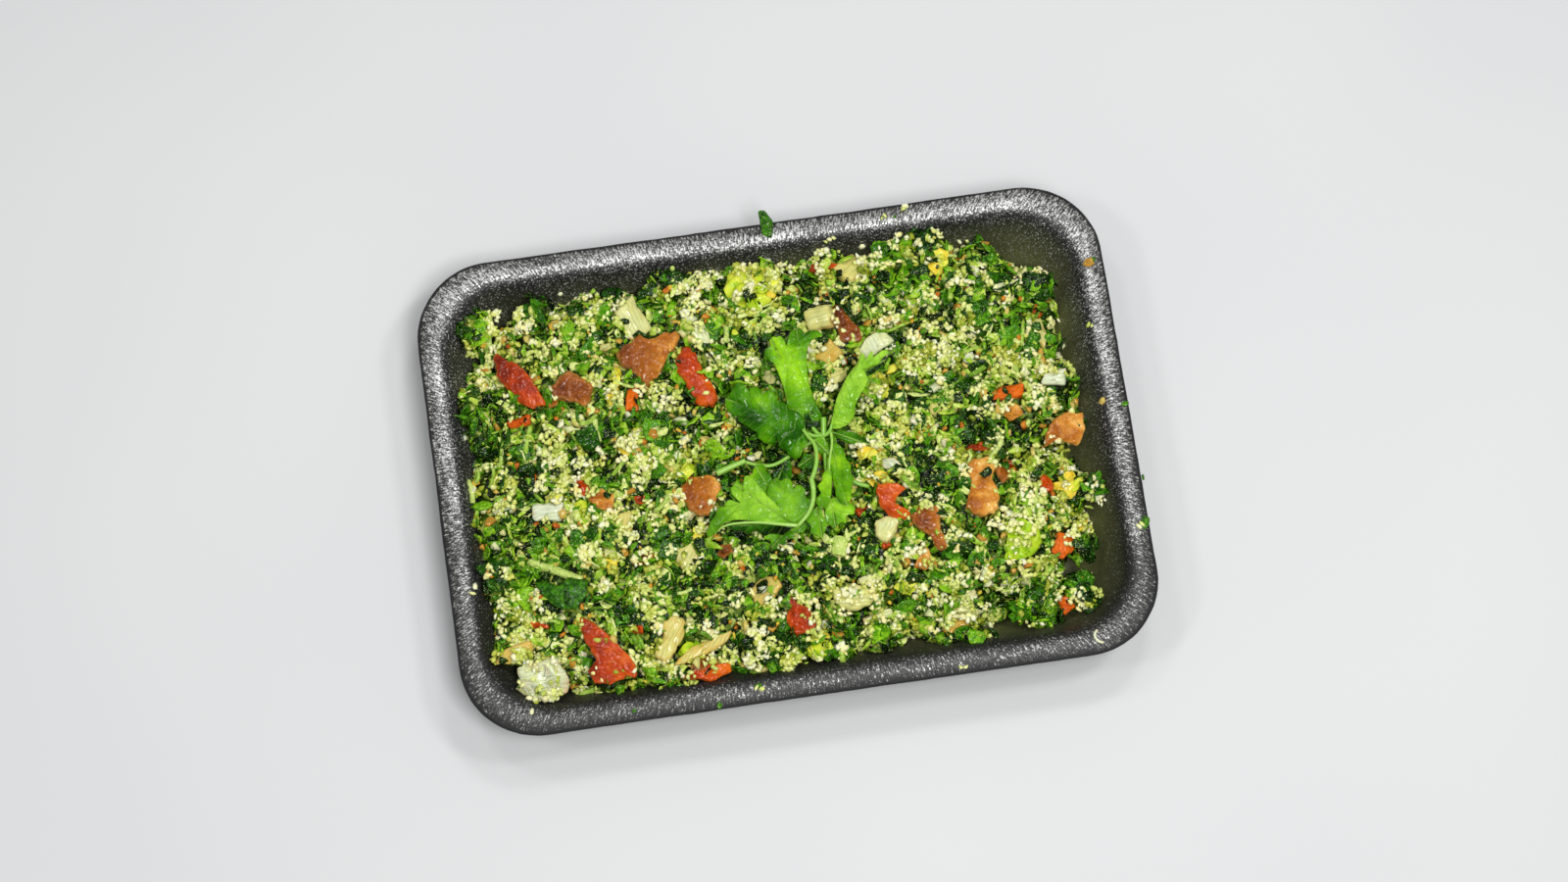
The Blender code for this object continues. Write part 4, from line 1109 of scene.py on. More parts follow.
def tomato(name, tints, rim, see_through):
    """Ripe tomato, diced and salted: taut shiny skin, or wet flesh with paler fibres and soft light inside."""
    finish, tree, shader = new_finish(name, {
        "Roughness": 0.5, "IOR": 1.4, "Specular IOR Level": 0.05, "Coat Weight": 1.0, "Coat Roughness": 0.05, "Coat IOR": 1.38,
        "Subsurface Weight": see_through, "Subsurface Radius": (2.5 * MM, 0.8 * MM, 0.4 * MM), "Subsurface Scale": 1.0})
    place = node(tree, "TexCoord").outputs["Object"]
    tone = node(tree, "Attribute", attribute_name="tone").outputs["Fac"]
    along = node(tree, "Attribute", attribute_name="along").outputs["Fac"]
    # Painted light: each piece is drawn brighter towards one end of its length
    lit_towards_end = node(tree, "Math", {0: along, 1: 0.03 / MM, 2: tone}, operation="MULTIPLY_ADD").outputs[0]
    cloud = node(tree, "TexNoise", {"Vector": place, "Scale": 1 / (4.0 * MM), "Detail": 2.0}).outputs["Fac"]
    mixed = node(tree, "Math", {0: cloud, 1: 1.2, 2: -0.53}, operation="MULTIPLY_ADD").outputs[0]
    summed = node(tree, "Math", {0: lit_towards_end, 1: mixed}, operation="ADD").outputs[0]
    tint = node(tree, "ValToRGB", {"Fac": summed}, stops=tints).outputs[0]
    # The cut edges are thinner and let more light through
    edge = node(tree, "Attribute", attribute_name="edge").outputs["Fac"]
    thin = node(tree, "Math", {0: edge, 1: cloud}, operation="MULTIPLY").outputs[0]
    lit = node(tree, "Mix", {0: thin, 6: tint, 7: linear(rim)}, data_type="RGBA")
    tree.links.new(lit.outputs[2], shader.inputs["Base Color"])
    fibre = node(tree, "TexNoise", {"Vector": place, "Scale": 1 / (1.2 * MM), "Detail": 0.5}).outputs["Fac"]
    relief = node(tree, "Bump", {"Height": fibre, "Strength": 1.0, "Distance": 1.0 * MM})
    tree.links.new(relief.outputs[0], shader.inputs["Normal"])
    tree.links.new(relief.outputs[0], shader.inputs["Coat Normal"])
    return finish


def cut_onion():
    """Onion and spring onion, sliced: glassy layers ruled by fine veins, from amber through cream to greenish white."""
    finish, tree, shader = new_finish("sliced_onion", {
        "Roughness": 0.4, "IOR": 1.4, "Specular IOR Level": 0.2, "Coat Weight": 0.9, "Coat Roughness": 0.05, "Coat IOR": 1.38,
        "Subsurface Weight": 0.3, "Subsurface Radius": (1.6 * MM, 1.4 * MM, 0.9 * MM), "Subsurface Scale": 1.0})
    place = node(tree, "TexCoord").outputs["Object"]
    tone = node(tree, "Attribute", attribute_name="tone").outputs["Fac"]
    across = node(tree, "Attribute", attribute_name="across").outputs["Fac"]
    along = node(tree, "Attribute", attribute_name="along").outputs["Fac"]
    cloud = node(tree, "TexNoise", {"Vector": place, "Scale": 1 / (4.0 * MM), "Detail": 2.0}).outputs["Fac"]
    mixed = node(tree, "Math", {0: cloud, 1: 0.5, 2: -0.25}, operation="MULTIPLY_ADD").outputs[0]
    summed = node(tree, "Math", {0: tone, 1: mixed}, operation="ADD").outputs[0]
    tint = node(tree, "ValToRGB", {"Fac": summed}, stops=(
        (0.0, "#bc7c14"), (0.2, "#dcae40"), (0.45, "#dcd67c"), (0.7, "#e2e6a4"), (0.95, "#e4ecce"))).outputs[0]
    # Veins 0.7 mm apart run along the layer
    ruled = node(tree, "CombineXYZ", {
        "X": node(tree, "Math", {0: along, 1: 0.12}, operation="MULTIPLY").outputs[0], "Y": across}).outputs[0]
    veins = node(tree, "TexNoise", {"Vector": ruled, "Scale": 1 / (0.7 * MM), "Detail": 1.0}).outputs["Fac"]
    shade = node(tree, "MapRange", {"Value": veins, "From Min": 0.42, "From Max": 0.6, "To Max": 0.35}).outputs[0]
    ribbed = node(tree, "Mix", {0: shade, 6: tint, 7: linear("#8c9a58")}, data_type="RGBA")
    # Dressing and tomato juice stain its cut edges amber
    edge = node(tree, "Attribute", attribute_name="edge").outputs["Fac"]
    soaked = node(tree, "MapRange", {"Value": cloud, "From Min": 0.46, "From Max": 0.66, "To Max": 0.7}).outputs[0]
    amber = node(tree, "Math", {0: edge, 1: soaked}, operation="MULTIPLY").outputs[0]
    stained = node(tree, "Mix", {0: amber, 6: ribbed.outputs[2], 7: linear("#d89030")}, data_type="RGBA")
    tree.links.new(stained.outputs[2], shader.inputs["Base Color"])
    relief = node(tree, "Bump", {"Height": veins, "Strength": 0.6, "Distance": 0.3 * MM})
    tree.links.new(relief.outputs[0], shader.inputs["Normal"])
    tree.links.new(relief.outputs[0], shader.inputs["Coat Normal"])
    return finish


def pale_lettuce():
    """Lettuce heart and celery leaf, shredded: crisp, blistered, yellow where it was shaded and green where not."""
    finish, tree, shader = new_finish("shredded_lettuce", {
        "Roughness": 0.4, "IOR": 1.4, "Specular IOR Level": 0.15, "Coat Weight": 0.8, "Coat Roughness": 0.06, "Coat IOR": 1.36,
        "Subsurface Weight": 0.15, "Subsurface Radius": (0.8 * MM, 1.0 * MM, 0.3 * MM), "Subsurface Scale": 1.0})
    place = node(tree, "TexCoord").outputs["Object"]
    tone = node(tree, "Attribute", attribute_name="tone").outputs["Fac"]
    cloud = node(tree, "TexNoise", {"Vector": place, "Scale": 1 / (3.5 * MM), "Detail": 3.0}).outputs["Fac"]
    mixed = node(tree, "Math", {0: cloud, 1: 0.8, 2: -0.4}, operation="MULTIPLY_ADD").outputs[0]
    summed = node(tree, "Math", {0: tone, 1: mixed}, operation="ADD").outputs[0]
    tint = node(tree, "ValToRGB", {"Fac": summed}, stops=(
        (0.0, "#4e8c0c"), (0.3, "#92c41c"), (0.6, "#cce02c"), (0.85, "#ecec58"), (1.0, "#f0d23c"))).outputs[0]
    tree.links.new(tint, shader.inputs["Base Color"])
    # Blisters 1.5 mm across
    blister = node(tree, "TexVoronoi", {"Vector": place, "Scale": 1 / (1.5 * MM)}, feature="SMOOTH_F1").outputs["Distance"]
    relief = node(tree, "Bump", {"Height": blister, "Strength": 0.5, "Distance": 0.4 * MM})
    tree.links.new(relief.outputs[0], shader.inputs["Normal"])
    tree.links.new(relief.outputs[0], shader.inputs["Coat Normal"])
    return finish


# ------------------------------------------------------------------ the parsley sprig

# Each leaf: its root; the tips and notches of its rim in turn; tone from dark to bright, paleness (the
# underside is paler), how far its main veins stand up as ridges or sink as folds when negative, and its arch
# Painted shade: right_tip, front_left_low, hollow_left and hollow_back lie under other leaves or down in the hollow,
# and their low tones stand partly for the shade there
LEAVES = {
    "back": ((8.5, 6, 29.5), (
        (11.4, 6.5, 30), (12.4, 9, 30.5), (11.6, 12, 31.6), (10.6, 15.8, 32.2), (9.9, 20, 33), (10.3, 25, 34.5), (11, 28.6, 35),
        (12.3, 30.6, 34.8), (14, 31.9, 33.8), (16.3, 32.8, 32.5), (14.8, 34.3, 33.2), (12.4, 34, 34.6), (11, 33.2, 35),
        (10.2, 34.8, 35.2), (8.2, 35.2, 35.6), (6.4, 33.9, 36), (5, 30.6, 35.2), (4.4, 33, 36), (2.4, 33.6, 36), (0.4, 33.2, 36),
        (0.3, 31, 35.6), (-1.6, 30, 35.2), (-1.7, 28, 35), (0.6, 25.4, 34.6), (2, 20, 34), (2.7, 15.5, 33), (2.6, 12.4, 32)),
        0.62, 0.12, -1.0, 0.14),
    "left": ((7.1, 4.2, 31.6), (
        (7, 8.4, 33), (5.4, 10.5, 33.6), (3.1, 11.4, 34.2), (2.2, 13.2, 34.6), (-0.2, 14.4, 35), (-0.9, 16.8, 35.2),
        (-2.6, 18.2, 35.2), (-4, 16.9, 35.4), (-5.2, 19.1, 35.4), (-7.4, 19.2, 35.4), (-8.2, 17.8, 35.6), (-9.2, 20.6, 34.8),
        (-10.8, 21.2, 34.6), (-13, 20.3, 34), (-13.6, 18.6, 33.6), (-15.2, 17.8, 33), (-15.4, 15, 32.6), (-14, 12.6, 32.4),
        (-12.8, 12.2, 32.3), (-12.2, 10.4, 32.2), (-9.4, 7.8, 32.1), (-7.4, 6.2, 32), (-7.2, 4.6, 31.6), (-5.4, 3, 31),
        (-3.2, 2.4, 30.7), (-1.4, 3.3, 31.4), (-1.5, 1.2, 30.8), (0.2, 0, 30.4), (0.9, -1.6, 30), (3, -2.8, 29.8),
        (4.6, -2, 29.9), (5.4, -0.2, 30.5), (7, 1, 31)), 0.50, 0.0, -0.9, 0.36),
    "right": ((14, 4.6, 30.5), (
        (15.6, 8.2, 31.5), (17, 12, 33), (19, 15.2, 34.2), (21, 18, 35.2), (23, 20.1, 36), (24.8, 21.7, 36.6), (26.9, 24.6, 37),
        (27.8, 22.8, 37), (29.7, 24.6, 37.4), (30.4, 22.6, 37.2), (33.4, 24.6, 37), (35.6, 24, 36.4), (32.8, 22.4, 36.6),
        (31, 20.6, 36.4), (29, 20, 36.6), (27, 18.8, 36.6), (27.5, 16.6, 36), (26, 14.4, 35), (24.1, 12, 34), (22.4, 9.6, 33),
        (22.1, 7.6, 32), (20.4, 5.4, 31.4), (17.5, 4.4, 30.8)), 0.78, 0.85, -0.5, 0.24),
    "right_tip": ((26.4, 19, 35.6), (
        (29, 20.6, 36), (31.4, 21.6, 35.8), (33.6, 22.2, 35.2), (31.6, 20, 34.8), (29.4, 18.7, 34.4), (27, 17.8, 34.6)),
        0.2, 0.0, -0.2, 0.1),
    "front_left": ((-0.2, -24, 34.6), (
        (-3.4, -21, 34.4), (-4, -18.4, 34.2), (-5.6, -15.8, 33.9), (-8, -12.4, 33.4), (-9.8, -9, 33), (-11.6, -6.7, 32.8),
        (-13.2, -7, 32.6), (-14, -9.2, 32.4), (-15.6, -7.6, 32.4), (-17.4, -9.5, 32.5), (-17.4, -11.6, 32.6), (-15.6, -14.2, 32.4),
        (-18.5, -12.9, 32.2), (-19.9, -14.2, 32), (-20, -16, 32), (-21.8, -14.8, 31.8), (-23.2, -16.9, 31.8),
        (-24.9, -18.9, 31.8), (-26.6, -22.2, 31.2), (-24.8, -22.7, 31), (-22.5, -20.6, 32.2), (-19, -19.6, 33.8),
        (-14, -20.3, 34.4), (-8, -21.8, 34.8)), 0.62, 0.62, 0.5, 0.08),
    "front_left_low": ((-0.8, -24.2, 34.2), (
        (-8, -22.2, 34.4), (-14, -20.6, 34), (-19.8, -20, 33), (-18.8, -22.2, 31.4), (-16.4, -22.4, 31), (-14.6, -23.7, 30.6),
        (-12, -23, 30.5), (-9.6, -24.6, 30.3), (-7.4, -24.4, 30.2), (-4.4, -25.4, 31)), 0.22, 0.0, -0.4, 0.14),
    "front_upper": ((-3.4, -18, 31.4), (
        (-9.8, -11, 30.6), (-10.8, -8, 30.4), (-11.6, -6.4, 30.2), (-10.4, -5.2, 30), (-10, -3.6, 29.8), (-8.4, -2.9, 29.6),
        (-6.6, -3.6, 29.6), (-6.4, -5.4, 29.9), (-5.4, -6.6, 30.2), (-4.8, -8.8, 30.6), (-2.8, -9.6, 31), (-2.2, -13, 31.2)),
        0.56, 0.1, -0.4, 0.14),
    "front": ((2.6, -21.6, 32.6), (
        (5.6, -18, 31.8), (5.6, -16.4, 31.8), (4, -15.2, 32), (4.1, -12.9, 32.2), (2.4, -11.2, 32), (0.8, -12.2, 31.8),
        (0.7, -10.3, 31.6), (-0.8, -8.7, 31.6), (-2.4, -9.2, 31.4), (-4.2, -8, 31.2), (-6, -9.5, 31), (-8, -13, 30.4),
        (-8, -18, 29.8), (-6, -22, 29.6), (-2, -24.5, 30), (1, -24.2, 31)), 0.62, 0.3, -0.4, 0.14),
    "front_bottom": ((-1.5, -22.5, 30.6), (
        (-8.6, -23.6, 29.6), (-10, -25.2, 29), (-8, -26.2, 28.8), (-8.2, -28.4, 28.5), (-6.6, -29, 28.6), (-5.8, -27.4, 28.8),
        (-4, -28.2, 28.9), (-3.3, -26.2, 29.2), (-1.6, -26.6, 29.4), (-0.6, -25.2, 29.6), (2, -25, 29.8), (3.4, -22.6, 30)),
        0.56, 0.15, -0.3, 0.1),
    "front_right": ((14, -0.4, 31.8), (
        (15, 0.3, 31.9), (16.6, -1.6, 32.3), (17.4, -4, 32.8), (17.6, -5.8, 32.9), (18.6, -7.6, 33), (18.2, -10, 33),
        (18.9, -11.8, 32.8), (17.9, -14.4, 32.3), (17.2, -17.4, 31.6), (15.5, -19, 30.8), (14, -18.2, 30.7), (13, -16, 31.2),
        (12.9, -13, 31.6), (12.6, -8, 31.7), (12.8, -3, 31.7)), 0.70, 0.1, -0.8, 0.36),
    "front_right_left": ((13.2, -2, 31.4), (
        (12.8, -6, 31.6), (12.7, -10, 31.6), (12.2, -13.2, 31.5), (11.5, -16, 31.2), (10.3, -18.2, 30.6), (8.6, -19.1, 30),
        (7.1, -18, 30), (7, -16, 30.5), (8.6, -14.4, 31), (8, -12.4, 31.3), (9.6, -10.8, 31.6), (10, -9, 31.8),
        (11.6, -7.6, 32), (12.1, -4.6, 31.8)), 0.62, 0.25, 0.3, 0.2),
    "low_front": ((11.4, -16, 29.8), (
        (9.4, -18.4, 29.2), (9, -21.6, 29), (9.8, -23.8, 28.8), (11.6, -25, 28.7), (13, -23.8, 28.7), (14.8, -24, 28.8),
        (15.2, -21.9, 29), (17.4, -21.8, 28.8), (18, -19.8, 29), (16.8, -18.2, 29.3), (17, -16, 29.5)), 0.64, 0.25, -0.4, 0.1),
    "low_lobe": ((7, -18, 30), (
        (5, -19.4, 29.6), (3.1, -21.6, 29.2), (4.4, -23.4, 28.9), (3.9, -25.4, 28.6), (5.6, -26.2, 28.4), (7.2, -27.3, 28.4),
        (8.2, -25.4, 28.7), (9.3, -23.8, 28.9), (8.4, -21, 29.3), (8.2, -19, 29.6)), 0.58, 0.15, -0.3, 0.1),
    "right_low": ((14.6, 3.6, 30.4), (
        (17.8, 3.4, 30.8), (21, 2.6, 30.7), (23.3, 1.1, 30.1), (25.1, -0.6, 29), (24.4, -1.7, 28.7), (22, -1.1, 28.7),
        (19, 0, 29), (16.4, 1.8, 29.6)), 0.28, 0.1, -0.3, 0.2),
    "curl": ((9, 2, 31.4), (
        (10.8, 2.6, 31.4), (11.9, 1.2, 31.1), (12.9, -0.3, 30.7), (12.2, -2, 30.3), (10.4, -2.3, 30.1), (9.3, -1.5, 30.5)),
        0.52, 0.4, 0.2, 0.3),
    "low_heart": ((8.6, -2.4, 29.8), (
        (6.8, -1.8, 29.7), (5.3, -1.7, 29.6), (4.6, -3.1, 29.3), (3.3, -4.5, 28.9), (4.4, -6.1, 28.7), (6, -5.8, 28.7),
        (7.3, -7, 28.6), (8.7, -5, 29.2)), 0.4, 0.1, -0.2, 0.2),
    "hollow_left": ((1, -0.2, 28.6), (
        (-1.8, -0.8, 28.8), (-2.2, -4, 28.8), (-4.4, -5.8, 28.6), (-4.2, -8.3, 28.2), (-1.6, -9.2, 27.8), (0.6, -8.6, 27.8),
        (1.4, -4.6, 28)), 0.2, 0.0, -0.2, 0.2),
    "hollow_back": ((10.2, 4.4, 29), (
        (11.8, 6.2, 30), (11.4, 8.6, 30.2), (9.6, 10.6, 30.6), (7.4, 9.6, 30.6), (7.2, 6.6, 30.2)), 0.1, 0.1, -0.3, 0.2),
}

# The stalks: their points, radii at the two ends, and tone
SPRIG_STALKS = (
    (((-21, -3.4, 28.6), (-16, -2, 29.1), (-12, -1, 29.4)), (0.95, 0.75), 0.8),
    (((-12.4, -1.2, 29.3), (-8, -3, 29.2), (-3, -3.2, 29), (5, 0.5, 29), (11.5, 3, 30)), (0.5, 0.6), 0.7),
    (((9.1, 6.4, 29.7), (10.4, 4.2, 29.9), (12, 3, 30.2), (14, 3.9, 30.8), (15.1, 5.9, 31.5)), (0.7, 0.5), 0.6),
    (((11.8, 3.1, 30.2), (9.4, 3.2, 30.8), (7.1, 4.3, 31.6)), (0.7, 0.5), 0.6),
    (((6.3, 5.4, 32.2), (7.4, 3, 32.4), (8.7, 0.8, 32.8), (9.1, -2, 33.3), (8.8, -5, 33.7), (7.8, -8, 34),
      (6.5, -10.5, 34.1)), (0.5, 0.7), 0.7),
    (((6.4, -10.2, 34.1), (6.5, -14, 33.6), (5.7, -17.6, 33.6), (3.7, -21, 34.2), (0.4, -24, 34.8)), (0.8, 0.55), 0.75),
    (((0.4, -24, 34.8), (-5, -22.8, 35.1), (-11, -21.4, 35), (-18, -20.5, 34), (-22, -20.9, 32.8), (-24.6, -22.4, 31.4)),
     (0.6, 0.2), 0.9),
    (((11.5, 3, 30.2), (13.5, -4, 29.6), (18.4, -11.4, 29.3), (23.2, -14, 28.6)), (0.7, 0.6), 0.6),
    (((11.5, 3, 30.2), (11.6, -3, 29.6), (11.2, -9, 29.3), (11.4, -15, 29.4)), (0.6, 0.5), 0.5),
    (((12.9, 8.4, 31.2), (12.5, 5.5, 30.6), (12, 3, 30)), (0.85, 0.8), 0.6),
    (((14.4, 3.6, 31), (14.2, 0, 31.8), (13, -4, 32.2), (12.2, -8, 32.2), (12.1, -12.4, 31.8)), (0.45, 0.25), 0.85),
)
BLADE = 0.32
RIM_STEPS = 4
BLADE_RINGS = 10


def heart(loop):
    """The place inside a closed outline from which all of it is seen, or the most."""
    near, far = np.triu_indices(len(loop), 3)
    places = (loop[near] + loop[far])[::7] / 2
    start = loop[None] - places[:, None]
    ahead = np.roll(start, -1, axis=1)
    swept = start[..., 0] * ahead[..., 1] - start[..., 1] * ahead[..., 0]
    swept *= np.sign(swept.sum(axis=1, keepdims=True))
    return places[np.argmax(20 * np.minimum(swept, 0).sum(axis=1) + swept.min(axis=1))]


def leaf_blade(chance, root, rim, tone, pale, fold, arch):
    """A lobed leaf as a thin closed blade: scalloped rim, veins running from the root to each lobe's tip."""
    root = np.array(root, float)
    edge = smooth_route(rim, RIM_STEPS)
    distance = np.linalg.norm(edge - root, axis=1)
    size = distance.max()
    run = np.concatenate([[0], np.cumsum(np.linalg.norm(np.diff(edge, axis=0), axis=1))])
    scallops = np.abs(np.sin(math.pi * run / 2.1)) ** 0.8 - 0.5
    edge = edge + unit(edge - root) * (0.4 * scallops * rise(0.3, 0.9, distance / size))[:, None]
    near = np.lib.stride_tricks.sliding_window_view(np.pad(distance, 12, mode="edge"), 25).max(axis=1)
    tips = np.flatnonzero((distance >= near) & (distance > 0.45 * size))
    loop = np.vstack([root, edge])
    middle = heart(loop)
    shares = (np.arange(BLADE_RINGS) + 1) / BLADE_RINGS
    points = np.vstack([middle, (middle + shares[:, None, None] * (loop - middle)[None]).reshape(-1, 3)])
    spread = np.concatenate([[0], np.repeat(shares, len(loop))])
    out = points - root
    along = np.linalg.norm(out, axis=1)
    off_vein = np.full(len(points), 9.0)
    for tip in tips:
        vein = unit(edge[tip] - root)
        side = np.linalg.norm(out - (out @ vein)[:, None] * vein, axis=1)
        off_vein = np.minimum(off_vein, side)
    outward = np.clip(along / size, 0, 1)
    points[:, 2] += 0.25 * arch * size * (1 - spread ** 2)
    points[:, 2] += fold * np.exp(-off_vein / 1.1) * (1 - spread ** 4)
    points[:, 2] += 1.3 * outward ** 1.5 * wobble(points, 4.2, chance.uniform(0, 40))
    points[:, 2] += (0.3 * (1 - np.exp(-off_vein / 0.9)) + 0.8 * (1 - np.exp(-off_vein / 2.2))) * outward
    body, faces = thickened(points, len(loop), BLADE_RINGS, BLADE)
    # Partly the leaf's uneven colour and partly painted light and shade: the tone drifts over 6.5 mm, lighter and
    # darker lobe by lobe
    tone = np.tile(tone + 0.46 * wobble(points, 6.5, chance.uniform(0, 40)), 2)
    marks = {"tone": tone, "pale": pale, "off_vein": np.tile(off_vein, 2) * MM, "along": np.tile(along, 2) * MM}
    marks = {mark: np.broadcast_to(values, len(body)) for mark, values in marks.items()}
    return body * MM, faces, marks


def build_sprig():
    """The sprig's leaves and its stalks, standing for the frame's sprig."""
    chance = np.random.default_rng(61)
    leaves = joined([leaf_blade(chance, *leaf) for leaf in LEAVES.values()])
    blades = add_piece("sprig_leaves", leaves[0], leaves[1], fresh_leaf(), leaves[2])
    parts = []
    for route, (start, end), tone in SPRIG_STALKS:
        line = smooth_route(route, 6)
        points, faces = tube(line, np.linspace(start, end, len(line)), sides=12, ridges=0.06)
        parts.append((points * MM, faces, {"tone": np.full(len(points), tone)}))
    stalks = joined(parts)
    stems = add_piece("sprig_stalks", stalks[0], stalks[1], fresh_stalk(), stalks[2])
    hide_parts("parsley_sprig")
    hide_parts("parsley_sprig")


def fresh_leaf():
    """Fresh flat-leaf parsley: waxy, bright and half see-through, paler underneath, with sunken lighter veins."""
    finish, tree, shader = new_finish("fresh_parsley_leaf", {
        "Roughness": 0.5, "IOR": 1.42, "Specular IOR Level": 0.0, "Coat Weight": 0.7, "Coat Roughness": 0.07, "Coat IOR": 1.38,
        "Subsurface Weight": 0.12, "Subsurface Radius": (0.5 * MM, 1.0 * MM, 0.15 * MM), "Subsurface Scale": 1.0})
    place = node(tree, "TexCoord").outputs["Object"]
    tone, pale, off, along = (node(tree, "Attribute", attribute_name=mark).outputs["Fac"]
                              for mark in ("tone", "pale", "off_vein", "along"))
    cloud = node(tree, "TexNoise", {"Vector": place, "Scale": 1 / (4.0 * MM), "Detail": 3.0}).outputs["Fac"]
    mixed = node(tree, "Math", {0: cloud, 1: 0.5, 2: -0.25}, operation="MULTIPLY_ADD").outputs[0]
    summed = node(tree, "Math", {0: tone, 1: mixed}, operation="ADD").outputs[0]
    upper = node(tree, "ValToRGB", {"Fac": summed}, stops=(
        (0.0, "#041602"), (0.22, "#164a00"), (0.45, "#367800"), (0.65, "#5c9e00"), (0.88, "#98d40a"))).outputs[0]
    under = node(tree, "ValToRGB", {"Fac": summed}, stops=((0.15, "#3e8204"), (0.5, "#7ab81c"), (0.85, "#a6dc44"))).outputs[0]
    blade = node(tree, "Mix", {0: pale, 6: upper, 7: under}, data_type="RGBA").outputs[2]
    main = node(tree, "MapRange", {"Value": off, "From Min": 0.08 * MM, "From Max": 0.42 * MM, "To Min": 0.8, "To Max": 0.0}).outputs[0]
    # Side veins leave the main ones every 2.4 mm and slant outwards
    slant = node(tree, "Math", {0: off, 1: -0.9, 2: along}, operation="MULTIPLY_ADD").outputs[0]
    wave = node(tree, "Math", {0: slant, 1: 2 * math.pi / (2.4 * MM)}, operation="MULTIPLY").outputs[0]
    side = node(tree, "Math", {0: wave}, operation="SINE").outputs[0]
    ribs = node(tree, "MapRange", {"Value": side, "From Min": 0.86, "From Max": 1.0, "To Max": 0.17}).outputs[0]
    veins = node(tree, "Math", {0: main, 1: ribs}, operation="MAXIMUM").outputs[0]
    veined = node(tree, "Mix", {0: veins, 6: blade, 7: linear("#a9d860")}, data_type="RGBA").outputs[2]
    tree.links.new(veined, shader.inputs["Base Color"])
    pucker = node(tree, "TexNoise", {"Vector": place, "Scale": 1 / (1.8 * MM), "Detail": 1.0}).outputs["Fac"]
    height = node(tree, "Math", {0: veins, 1: -0.9, 2: pucker}, operation="MULTIPLY_ADD").outputs[0]
    relief = node(tree, "Bump", {"Height": height, "Strength": 1.0, "Distance": 0.9 * MM})
    tree.links.new(relief.outputs[0], shader.inputs["Normal"])
    tree.links.new(relief.outputs[0], shader.inputs["Coat Normal"])
    return finish


def fresh_stalk():
    """Parsley stalk: juicy, ribbed lengthways and lighter than the leaf, with a soft wax shine."""
    finish, tree, shader = new_finish("fresh_parsley_stalk", {
        "Roughness": 0.35, "IOR": 1.42, "Coat Weight": 0.3, "Coat Roughness": 0.12,
        "Subsurface Weight": 0.2, "Subsurface Radius": (0.8 * MM, 1.2 * MM, 0.3 * MM), "Subsurface Scale": 1.0})
    place = node(tree, "TexCoord").outputs["Object"]
    tone = node(tree, "Attribute", attribute_name="tone").outputs["Fac"]
    cloud = node(tree, "TexNoise", {"Vector": place, "Scale": 1 / (2.0 * MM), "Detail": 2.0}).outputs["Fac"]
    mixed = node(tree, "Math", {0: cloud, 1: 0.4, 2: -0.2}, operation="MULTIPLY_ADD").outputs[0]
    summed = node(tree, "Math", {0: tone, 1: mixed}, operation="ADD").outputs[0]
    tint = node(tree, "ValToRGB", {"Fac": summed}, stops=(
        (0.1, "#4d8a1c"), (0.5, "#7db832"), (0.9, "#a6d460"))).outputs[0]
    tree.links.new(tint, shader.inputs["Base Color"])
    relief = node(tree, "Bump", {"Height": cloud, "Strength": 0.2, "Distance": 0.2 * MM})
    tree.links.new(relief.outputs[0], shader.inputs["Normal"])
    tree.links.new(relief.outputs[0], shader.inputs["Coat Normal"])
    return finish


# ------------------------------------------------------------------ crumbs on the tray

# Grains that fell on the lip and the walls: x and y
STRAY_GRAINS = (
    (40, 69), (41, 69.6), (47, 71), (47.6, 71.8), (22, 65), (23.2, 65.4), (24.6, 65.6), (90, 33), (97, 27), (97.8, 26.4),
    (101, -37), (102, -36.2), (42, -71), (43.4, -71.2), (-60, 62), (-54, 60), (-41, 57), (-17, -69), (-18.6, -68.6),
    (64, 60), (63, 61.2), (65.4, 61), (62, 59.4), (-6, 63), (-8, 62), (91.4, 13), (87, -46), (-97, -26), (-98, -28),
    (33, 63), (-85, -66),
)
# Flecks of herb: x, y, size and turn
STRAY_HERBS = (
    (103, -36, 2.2, 60), (103.4, 1, 1.3, 10), (105, -22, 1.0, 70), (-30, -72, 1.2, 80), (-18, -68, 1.2, 20),
    (-55, -70, 0.9, 40), (101, 46.6, 1.4, 30), (44, 69, 0.7, 10), (-70, 62.5, 0.8, 0),
)


